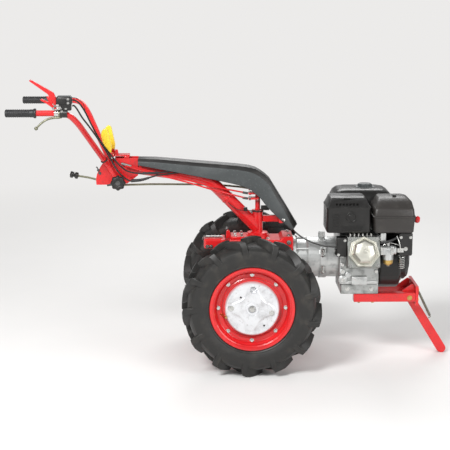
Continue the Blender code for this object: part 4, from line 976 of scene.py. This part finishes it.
# a thin grey sheet on the black housing's top face: painted light, the top made lighter than the sides
bm = bmesh.new()
addBlock(bm, at(-0.796, -0.2885, 1.1778), at(-0.744, -0.244, 1.1788))
addPiece("housingTopPaintedLight", bm, "handlebar", greyPlastic)
bm = bmesh.new()
ovalFrame = Matrix.Translation(at(-0.800, -0.2925, 1.1325)) @ toward((0, -1,
        0)) @ Matrix.Rotation(math.radians(12), 4, "Z") @ Matrix.Diagonal((1.0, 0.42, 1.0, 1.0))
addLathe(bm, [(0.0185, -0.002), (0.0185, 0.0025), (0.016, 0.004), (0.0125, 0.004), (0.0105, 0.0025),
              (0.0105, -0.002)], ovalFrame, 32)
addRod(bm, at(-0.7815, -0.288, 1.130), at(-0.7815, -0.2955, 1.130), 0.0035, 14)
addLathe(bm, [(0.0126, 0.0), (0.0139, 0.0), (0.0139, 0.017), (0.0126, 0.017)],
         Matrix.Translation(at(-0.811, -0.270, 1.108)) @ toward((1, 0, 0)), 32)
addBolts(bm, [at(-0.762, -0.2870, 1.1290), at(-0.779, -0.2862, 1.1175), at(-0.752, -0.2915, 1.168),
              at(-0.752, -0.2915, 1.152)], (0, -1, 0), 0.0035, 0.002)
addPiece("housingMetal", bm, "handlebar", zinc)

bm = bmesh.new()
addPrism(bm, [(-0.8025, 1.142), (-0.8025, 1.172), (-0.812, 1.193), (-0.905, 1.2465), (-0.9115, 1.2405),
              (-0.836, 1.186), (-0.822, 1.160), (-0.812, 1.142)], "XZ", -0.2730, -0.2612)
addPrism(bm, [(-0.8025, 1.124), (-0.8025, 1.134), (-0.832, 1.154), (-0.862, 1.168), (-0.868, 1.162),
              (-0.842, 1.148), (-0.812, 1.126)], "XZ", -0.2770, -0.2570)
addPrism(bm, [(-0.822, 1.140), (-0.832, 1.152), (-0.842, 1.176), (-0.828, 1.180), (-0.815, 1.150)], "XZ",
         -0.2720, -0.2620)
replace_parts(bevelled(addPiece("clutchLever", bm, "handlebar", red), 0.0022), "clutch_lever")
bm = bmesh.new()
addRod(bm, at(-0.808, -0.2790, 1.137), at(-0.808, -0.2550, 1.137), 0.0042, 16)
addPiece("leverPin", bm, "handlebar", zinc)
bm = bmesh.new()
addSweep(bm, wirePath([(-0.790, -0.270, 1.0905), (-0.815, -0.272, 1.0895), (-0.842, -0.277, 1.083),
                       (-0.866, -0.281, 1.067), (-0.884, -0.284, 1.049)], 6),
         lambda t: 0.0052 - 0.0014 * t, 14)
bmesh.ops.create_uvsphere(bm, u_segments=18, v_segments=12, radius=0.0078,
                          matrix=Matrix.Translation(at(-0.8855, -0.2843, 1.0475)))
addLathe(bm, [(0.0127, 0.0), (0.0150, 0.0), (0.0150, 0.014), (0.0127, 0.014)],
         Matrix.Translation(at(-0.794, -0.2693, 1.1074)) @ toward((1, 0, 0)), 28)
addRod(bm, at(-0.787, -0.270, 1.096), at(-0.787, -0.270, 1.0875), 0.006, 14)
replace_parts(addPiece("brakeLever", bm, "handlebar", oliveSteel), "brake_lever")
print("handlebar controls done")


# clamp knob, pull rod and shift levers
starKnob = {"x": -0.567, "z": 0.789, "lobes": 8, "radius": 0.0308, "wave": 0.0022}


def addStar(bm, matrix, radius, wave, lobes, rows, steps=70):
    rings = []
    for scale, h in rows:
        rings.append([bm.verts.new(matrix
                                   @ Vector((scale * (radius + wave
                                                      * math.cos(lobes * 2 * math.pi * i / steps))
                                             * math.cos(2 * math.pi * i / steps),
                                                    scale * (radius + wave * math.cos(lobes * 2 * math.pi
                                                            * i / steps)) * math.sin(2 * math.pi
                                                            * i / steps), h)))
                      for i in range(steps)])
    for a, b in zip(rings, rings[1:]):
        for i in range(steps):
            bm.faces.new((a[i], a[(i + 1) % steps], b[(i + 1) % steps], b[i]))
    bm.faces.new(rings[0][::-1])
    bm.faces.new(rings[-1])


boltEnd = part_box("clamp_knob")[1][1]
knobFrame = Matrix.Translation(at(starKnob["x"], -0.084, starKnob["z"])) @ toward((0, -1, 0))
bm = bmesh.new()
addStar(bm, knobFrame, starKnob["radius"], starKnob["wave"], starKnob["lobes"],
        [(0.55, 0.0), (0.92, 0.002), (1.0, 0.006), (1.0, 0.017), (0.94, 0.022), (0.80, 0.0255),
         (0.52, 0.0262), (0.46, 0.0245), (0.30, 0.0245)])
addRod(bm, at(starKnob["x"] - 0.012, -0.094, starKnob["z"] - 0.004),
       at(starKnob["x"] - 0.047, -0.094, starKnob["z"] - 0.011), 0.0052, 16, 0.0042)
bevelled(addPiece("starKnob", bm, "handlebar", blackPlastic), 0.0012)
bm = bmesh.new()
addRod(bm, at(starKnob["x"], -0.086, starKnob["z"]), Vector((starKnob["x"] + axleX, boltEnd,
                                                             starKnob["z"])), 0.008, 20)
addBolts(bm, [at(starKnob["x"], -0.1082, starKnob["z"])], (0, -1, 0), 0.007, 0.003)
clampPiece = addPiece("clampBolt", bm, "handlebar", darkSteel)
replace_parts(clampPiece, "clamp_knob")
bm = bmesh.new()
addBolts(bm, [at(-0.654, -0.0412, 0.836), at(-0.648, -0.0412, 0.822)], (0, -1, 0), 0.0045, 0.004)
addRod(bm, at(-0.657, -0.036, 0.842), at(-0.663, -0.036, 0.850), 0.003, 10)
addPiece("quadrantScrews", bm, "handlebar", darkSteel)
bm = bmesh.new()
addLathe(bm, [(0.0126, 0.0), (0.0158, 0.0), (0.0158, 0.006), (0.0126, 0.006)],
         Matrix.Translation(at(-0.6236, -0.0804, 0.8830)) @ toward((-0.47, -0.41, 0.88)), 24)
addPiece("cableTie", bm, "handlebar", blackPlastic)

pullRod = {"knobTo": -0.7445}
bm = bmesh.new()
addSweep(bm, wirePath([(-0.746, 0, 0.8045), (-0.700, 0, 0.797), (-0.660, 0, 0.786), (-0.600, 0, 0.764),
                       (-0.500, 0.020, 0.762),
                         (-0.400, 0.040, 0.760), (-0.170, 0.040, 0.757), (-0.060, 0.034, 0.750),
                       (-0.0052, 0.024, 0.744)], 8), 0.0045, 12)
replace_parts(addPiece("pullRod", bm, "column", oliveSteel), "pto_rod")
bm = bmesh.new()
knobFrame = Matrix.Translation(at(pullRod["knobTo"], 0, 0.804)) @ toward((-1, 0, 0.21))
addStar(bm, knobFrame, 0.0125, 0.0035, 3, [(0.5, 0.0), (0.9, 0.002), (1.0, 0.005), (1.0, 0.013),
                                           (0.55, 0.017), (0.55, 0.021), (0.95, 0.024), (1.0, 0.027),
                                           (1.0, 0.033), (0.8, 0.0365)], 42)
addPiece("pullKnob", bm, "column", blackPlastic)
bm = bmesh.new()
addRod(bm, knobFrame @ Vector((0, 0, 0.036)), knobFrame @ Vector((0, 0, 0.0385)), 0.005, 16)
addRod(bm, knobFrame @ Vector((0, 0.0118, 0.018)), knobFrame @ Vector((0, 0.0142, 0.018)), 0.0035, 12)
addPiece("knobScrews", bm, "column", zinc)

levers = {"left": (0.052, 0.005, -0.003), "right": (-0.052, -0.003, -0.004)}  # y, shift along x, shift in z
for side, (y, dx, dz) in levers.items():
    bm = bmesh.new()
    outline = [(-0.616, 0.920), (-0.593, 0.917), (-0.5905, 0.940), (-0.600, 0.985), (-0.606, 1.014),
               (-0.613, 1.0225), (-0.625, 1.0205), (-0.634, 1.008), (-0.636, 0.990), (-0.625, 0.950)]
    addPrism(bm, [(x + dx, z + dz) for x, z in outline], "XZ", y - 0.0095, y + 0.0095)
    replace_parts(bevelled(addPiece("shiftHandle" + side, bm, "column", yellow), 0.0040, 3),
                "gear_lever_" + side)
    bm = bmesh.new()
    addBlock(bm, at(-0.610 + dx * 0.5, y - 0.004, 0.9050), at(-0.597 + dx * 0.5, y + 0.004, 0.932))
    addBlock(bm, at(-0.616 + dx * 0.5, y - 0.008, 0.9045), at(-0.590 + dx * 0.5, y + 0.008, 0.9145))
    addRod(bm, at(-0.603 + dx * 0.5, y - 0.012, 0.9100), at(-0.603 + dx * 0.5, y + 0.012, 0.9100), 0.0045,
           12)
    bevelled(addPiece("shiftStem" + side, bm, "column", red), 0.001)
bm = bmesh.new()
addBlock(bm, at(-0.617, -0.058, 0.8946), at(-0.585, 0.058, 0.9046))
addBlock(bm, at(-0.590, -0.028, 0.8946), at(-0.520, 0.028, 0.9000))
addBlock(bm, at(-0.543, -0.0338, 0.8864), at(-0.520, 0.0338, 0.8956))
addPrism(bm, [(-0.590, 0.8945), (-0.566, 0.8945), (-0.570, 0.922), (-0.580, 0.924)], "XZ", -0.020, -0.014)
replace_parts(bevelled(addPiece("leverShelf", bm, "column", red), 0.0018), "lever_support")
for sign in (1, -1):
    bm = bmesh.new()
    low, high = sorted((sign * 0.0281, sign * 0.0335))
    addPrism(bm, [(-0.4836, 0.8855), (-0.586, 0.8855), (-0.584, 0.852), (-0.568, 0.815), (-0.520, 0.800)],
             "XZ", low, high)
    addPiece("yokeGusset" + ("left" if sign > 0 else "right"), bm, "column", red)
bm = bmesh.new()
sleeveStart, sleeveEnd = at(-0.553, -0.040, 0.8640), at(-0.512, -0.040, 0.8520)
addRod(bm, sleeveStart, sleeveEnd, 0.0066, 16)
addRod(bm, sleeveStart, sleeveStart + (sleeveStart - sleeveEnd).normalized() * 0.004, 0.0034, 12)
addPiece("rodSleeve", bm, "column", zinc)
bm = bmesh.new()
for z, y in ((0.7285, -0.024), (0.7055, -0.026)):
    addRod(bm, at(0.0015, y, z - 0.006), at(0.0015, y, z + 0.006), 0.0055, 12)
    addRod(bm, at(-0.030, y - 0.0025, z + 0.005), at(-0.008, y, z + 0.0008), 0.0052, 12)
addPiece("rodEnds", bm, "column", darkSteel)
bm = bmesh.new()
addBolts(bm, [at(0.0015, -0.024, 0.7345), at(0.0015, -0.026, 0.7115), at(0.0015, 0.024, 0.748),
              at(0.0365, -0.0262, 0.700)], (0, 0, 1), 0.005, 0.004)
addPiece("rodEndBolts", bm, "column", zinc)
print("levers and rods done")


# moulded hood in two tones
hood = {"rearCrease": 0.011, "frontCrease": 0.021, "inset": 0.013, "wall": 0.0038}
hoodRows = [((-0.483, 0.884), (-0.483, 0.858)), ((-0.410, 0.883), (-0.410, 0.8435)),
            ((-0.330, 0.8765), (-0.330, 0.8290)), ((-0.259, 0.870), (-0.259, 0.8145)),
            ((-0.150, 0.861), (-0.160, 0.7945)), ((-0.060, 0.853), (-0.085, 0.778)),
            ((-0.026, 0.8490), (-0.046, 0.7685)), ((0.001, 0.845), (-0.016, 0.7585)),
            ((0.025, 0.8375), (0.008, 0.7455)), ((0.046, 0.826), (0.030, 0.7265)),
            ((0.068, 0.810), (0.048, 0.709)), ((0.088, 0.791), (0.068, 0.683)),
            ((0.120, 0.739), (0.092, 0.656)), ((0.154, 0.684), (0.130, 0.618)),
            ((0.205, 0.598), (0.181, 0.572))]
half = 0.0518
topRows, sideRows = [], []
for number, ((tx, tz), (bx, bz)) in enumerate(hoodRows):
    share = number / (len(hoodRows) - 1)
    drop = hood["rearCrease"] + (hood["frontCrease"] - hood["rearCrease"]) * min(1, share * 1.3)
    gap = Vector((bx - tx, bz - tz))
    t = drop / gap.length if number < len(hoodRows) - 1 else 0.62
    cx, cz = tx + gap.x * t, tz + gap.y * t
    topRows.append([at(cx, -half, cz), at(tx, -half + hood["inset"], tz), at(tx, 0, tz),
                    at(tx, half - hood["inset"], tz), at(cx, half, cz)])
    sideRows.append((at(cx, half, cz), at(bx, half, bz)))


def addStrip(bm, rows):
    made = [[bm.verts.new(v) for v in row] for row in rows]
    for a, b in zip(made, made[1:]):
        for i in range(len(a) - 1):
            bm.faces.new((a[i], a[i + 1], b[i + 1], b[i]))


def solid(obj, thickness):
    shell = obj.modifiers.new("wall", "SOLIDIFY")
    shell.thickness, shell.offset = thickness, -1.0
    shell.use_even_offset = True
    return obj


bm = bmesh.new()
addStrip(bm, topRows)
front = topRows[-1]
addStrip(bm, [front, [Vector((v.x - 0.0145, v.y, v.z - 0.0135 if index in (0,
        4) else v.z - 0.0235)) for index, v in enumerate(front)]])
hoodTop = solid(addPiece("hoodTop", bm, "column", blackPlastic), hood["wall"])
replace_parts(bevelled(hoodTop, 0.0012), "linkage_cover")
for sign, name in ((1, "hoodLeft"), (-1, "hoodRight")):
    bm = bmesh.new()
    addStrip(bm, [[Vector((v.x, v.y * sign, v.z)) for v in (row if sign > 0 else row[::-1])]
                  for row in sideRows])
    bevelled(solid(addPiece(name, bm, "column", greyPlastic), hood["wall"]), 0.0012)
bm = bmesh.new()
for sign in (1, -1):
    addLathe(bm, [(0.0, 0.0), (0.0078, 0.0), (0.0070, 0.0022), (0.0035, 0.0036), (0.0, 0.0039)],
             Matrix.Translation(at(0.147, sign * half, 0.6145)) @ toward((0, sign, 0)), 24)
addPiece("hoodScrews", bm, "column", zinc)
print("hood done")


# cables
cable = {"radius": 0.0035, "thin": 0.0018}
clutchRoute = [(-0.7377, -0.262, 1.138), (-0.730, -0.262, 1.138), (-0.718, -0.259, 1.122),
               (-0.700, -0.236, 1.085), (-0.677, -0.201, 1.046),
               (-0.642, -0.144, 0.981), (-0.615, -0.098, 0.926), (-0.594, -0.078, 0.882),
               (-0.566, -0.075, 0.834), (-0.520, -0.072, 0.795),
               (-0.470, -0.069, 0.797), (-0.401, -0.060, 0.815), (-0.360, -0.050, 0.819),
               (-0.320, -0.042, 0.823), (-0.240, -0.030, 0.830),
               (-0.150, -0.020, 0.820), (-0.080, -0.018, 0.806), (-0.020, -0.010, 0.790),
               (0.020, -0.002, 0.780), (0.0365, 0, 0.766), (0.0365, 0, 0.7503)]
throttleRoute = [(-0.7377, -0.250, 1.160), (-0.730, -0.250, 1.160), (-0.712, -0.246, 1.148),
                 (-0.690, -0.225, 1.110), (-0.668, -0.180, 1.050),
                 (-0.636, -0.118, 0.972), (-0.604, -0.072, 0.916), (-0.570, -0.070, 0.872),
                 (-0.530, -0.071, 0.838), (-0.480, -0.070, 0.826),
                 (-0.420, -0.066, 0.8265), (-0.375, -0.052, 0.8270), (-0.335, -0.038, 0.832),
                 (-0.250, 0.000, 0.846), (-0.150, 0.012, 0.838),
                 (-0.060, 0.012, 0.830), (-0.050, 0.012, 0.830)]
lowerRoute = [(-0.0497, 0.012, 0.830), (-0.040, 0.012, 0.830), (0.020, 0, 0.814), (0.075, -0.030, 0.770),
              (0.130, -0.034, 0.695), (0.162, -0.034, 0.640),
              (0.176, -0.034, 0.600), (0.193, -0.036, 0.566), (0.240, -0.070, 0.534),
              (0.305, -0.106, 0.5145), (0.360, -0.128, 0.5115),
              (0.400, -0.1375, 0.5115), (0.4144, -0.1375, 0.5115)]
for name, route, first, second, start, end, stands in (
        ("clutchCable", clutchRoute, "handlebar", "column", (-0.605, -0.085, 0.887),
         (-0.520, -0.072, 0.795), "clutch_cable"),
        ("throttleCable", throttleRoute, "handlebar", "column", (-0.605, -0.085, 0.887),
         (-0.520, -0.072, 0.795), "throttle_cable_upper"),
        ("throttleTail", lowerRoute, "column", "chassis", (0.176, -0.034, 0.600), (0.305, -0.106, 0.5145),
         "throttle_cable_lower")):
    bm = bmesh.new()
    addSweep(bm, wirePath(route, 8), cable["radius"], 12)
    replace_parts(addBetween(name, bm, at(*start), at(*end), blackPlastic), stands)
bm = bmesh.new()
addSweep(bm, wirePath([(-0.512, -0.0715, 0.7942), (-0.470, -0.069, 0.797), (-0.436, -0.0655, 0.8055)], 10),
         lambda t: 0.0075 - 0.0025 * t + 0.0006 * math.sin(t * 60), 12)
addSweep(bm, wirePath([(-0.462, -0.0695, 0.8262), (-0.420, -0.066, 0.8265), (-0.395, -0.059, 0.8268)], 10),
         0.0055, 12)
addPiece("cableBoots", bm, "column", gripRubber)
bm = bmesh.new()
addSweep(bm, wirePath([(-0.094, -0.036, 0.691), (-0.066, -0.040, 0.668), (-0.042, -0.044, 0.659),
                       (0.010, -0.044, 0.657), (0.050, -0.040, 0.659), (0.082, -0.030, 0.664)], 8),
         cable["thin"], 8)
addBlock(bm, at(0.050, -0.032, 0.655), at(0.086, -0.013, 0.674))
addBlock(bm, at(-0.026, -0.046, 0.654), at(-0.010, -0.030, 0.670))
addLathe(bm, [(0.0226, 0.0), (0.0262, 0.0), (0.0262, 0.006), (0.0226, 0.006)],
         Matrix.Translation(at(0.0365, 0, 0.6455)), 32)
bevelled(addPiece("switchLead", bm, "column", blackPlastic), 0.001)
bm = bmesh.new()
addLathe(bm, [(0.0276, 0.0), (0.0292, 0.0015), (0.0292, 0.006), (0.0276, 0.0075)],
         Matrix.Translation(at(-0.094, 0, 0.7040)) @ toward((-0.703, 0, 0.711)), 40)
addPiece("tubeCollar", bm, "column", red)
bm = bmesh.new()
addSweep(bm, wirePath([(-0.738, -0.270, 1.172), (-0.722, -0.274, 1.171), (-0.708, -0.272, 1.163),
                       (-0.694, -0.262, 1.148), (-0.688, -0.240, 1.118)], 8), 0.0014, 8)
addPiece("housingWire", bm, "handlebar", blackPlastic)
print("cables done")


# hitch, front bracket and stand spring
bm = bmesh.new()
addRod(bm, at(-0.192, -0.012, 0.5345), at(-0.118, -0.012, 0.5345), 0.0050, 16)
addRod(bm, at(-0.203, -0.026, 0.531), at(-0.196, -0.026, 0.541), 0.0014, 8)
addSweep(bm, wirePath([(-0.206, -0.020, 0.522), (-0.204, -0.020, 0.534), (-0.198, -0.020, 0.542),
                       (-0.194, -0.020, 0.532), (-0.200, -0.020, 0.518)], 5), 0.0013, 6)
addBolts(bm, [at(-0.063, -0.030, 0.5405), at(-0.034, -0.030, 0.5405), at(-0.063, 0.030, 0.5405),
              at(-0.034, 0.030, 0.5405)], (0, 0, 1), 0.0062, 0.010)
addBolts(bm, [at(-0.184, -0.032, 0.494), at(-0.168, -0.032, 0.494)], (0, -1, 0), 0.006, 0.004)
addPiece("hitchPins", bm, "chassis", zinc)
bm = bmesh.new()
addPrism(bm, [(-0.104, 0.529), (-0.078, 0.529), (-0.086, 0.560), (-0.092, 0.566), (-0.101, 0.562)], "XZ",
         -0.020, -0.008)
addBlock(bm, at(-0.082, -0.050, 0.5302), at(0.004, 0.050, 0.5404))
addBlock(bm, at(-0.124, -0.0555, 0.500), at(-0.1065, 0.0555, 0.5285))
bevelled(addPiece("hitchLug", bm, "chassis", red), 0.002)
bm = bmesh.new()
bmesh.ops.create_uvsphere(bm, u_segments=18, v_segments=12, radius=0.008,
                          matrix=Matrix.Translation(at(-0.099, -0.014, 0.571)))
addRod(bm, at(-0.097, -0.014, 0.556), at(-0.099, -0.014, 0.568), 0.0035, 10)
addPiece("hitchKnob", bm, "chassis", darkSteel)
bm = bmesh.new()
gearbox = {"side": 0.0752, "axleHeight": 0.295, "coverCircle": 0.062, "coverFace": 0.0872,
           "bolts": [(-0.080, 0.505), (0.010, 0.512), (0.110, 0.512), (0.170, 0.520), (0.170, 0.380),
                     (-0.085, 0.440)]}
for sign in (-1, 1):
    addBolts(bm, [at(x, sign * gearbox["side"], z) for x, z in gearbox["bolts"]], (0, sign, 0), 0.007,
             0.005)
addBolts(bm, [at(0.080, -0.040, 0.5302), at(0.080, 0.040, 0.5302), at(0.170, -0.050, 0.5442),
              at(0.170, 0.050, 0.5442)], (0, 0, 1), 0.007, 0.005)
for sign in (1, -1):
    for k in range(6):
        a = 2 * math.pi * k / 6
        level = gearbox["axleHeight"] + gearbox["coverCircle"] * math.sin(a)
        spot = at(gearbox["coverCircle"] * math.cos(a), sign * gearbox["coverFace"], level)
        addBolts(bm, [spot], (0, sign, 0), 0.0058, 0.005)
addPiece("gearboxBolts", bm, "chassis", zinc)
bm = bmesh.new()
for sign in (1, -1):
    addBolts(bm, [at(0.712, sign * 0.0455, 0.262)], (0, sign, 0), 0.009, 0.006)
    addBolts(bm, [at(0.7005, sign * 0.1003, 0.275)], (0, sign, 0), 0.0075, 0.005)
    addBolts(bm, [at(0.7395, sign * 0.075, 0.305), at(0.7395, sign * 0.075, 0.262)], (1, 0, 0), 0.0065,
             0.004)
    addBolts(bm, [at(0.480, sign * 0.080, 0.2562), at(0.540, sign * 0.080, 0.2562)], (0, 0, -1), 0.0065,
             0.005)
addBolts(bm, [at(0.693, -0.052, 0.2945)], (0, -1, 0), 0.0085, 0.005)
addPiece("bracketBolts", bm, "chassis", brass)
bm = bmesh.new()
gussetOutline = [(0.672, 0.2945), (0.726, 0.2945), (0.726, 0.322), (0.714, 0.327), (0.690, 0.310)]
for inner in (-0.062, 0.056):
    addPrism(bm, gussetOutline, "XZ", inner, inner + 0.006)
addPiece("bracketGussets", bm, "chassis", red)
bm = bmesh.new()
hookHigh, springTop, springLow, hookLow = at(0.7402, 0, 0.290), at(0.753, 0, 0.284), at(0.8133, 0,
        0.1609), at(0.8034, 0, 0.1548)
run = (springLow - springTop).normalized()
addCoil(bm, springTop + run * 0.006, springLow - run * 0.006, 0.0046, 0.0013, 34)
addSweep(bm, smoothPath([hookHigh, springTop, springTop + run * 0.008], 5), 0.0016, 8)
addSweep(bm, smoothPath([springLow - run * 0.008, springLow, hookLow], 5), 0.0016, 8)
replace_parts(addBetween("coilSpring", bm, hookHigh, hookLow, oliveSteel), "stand_spring")
print("hitch and bracket done")
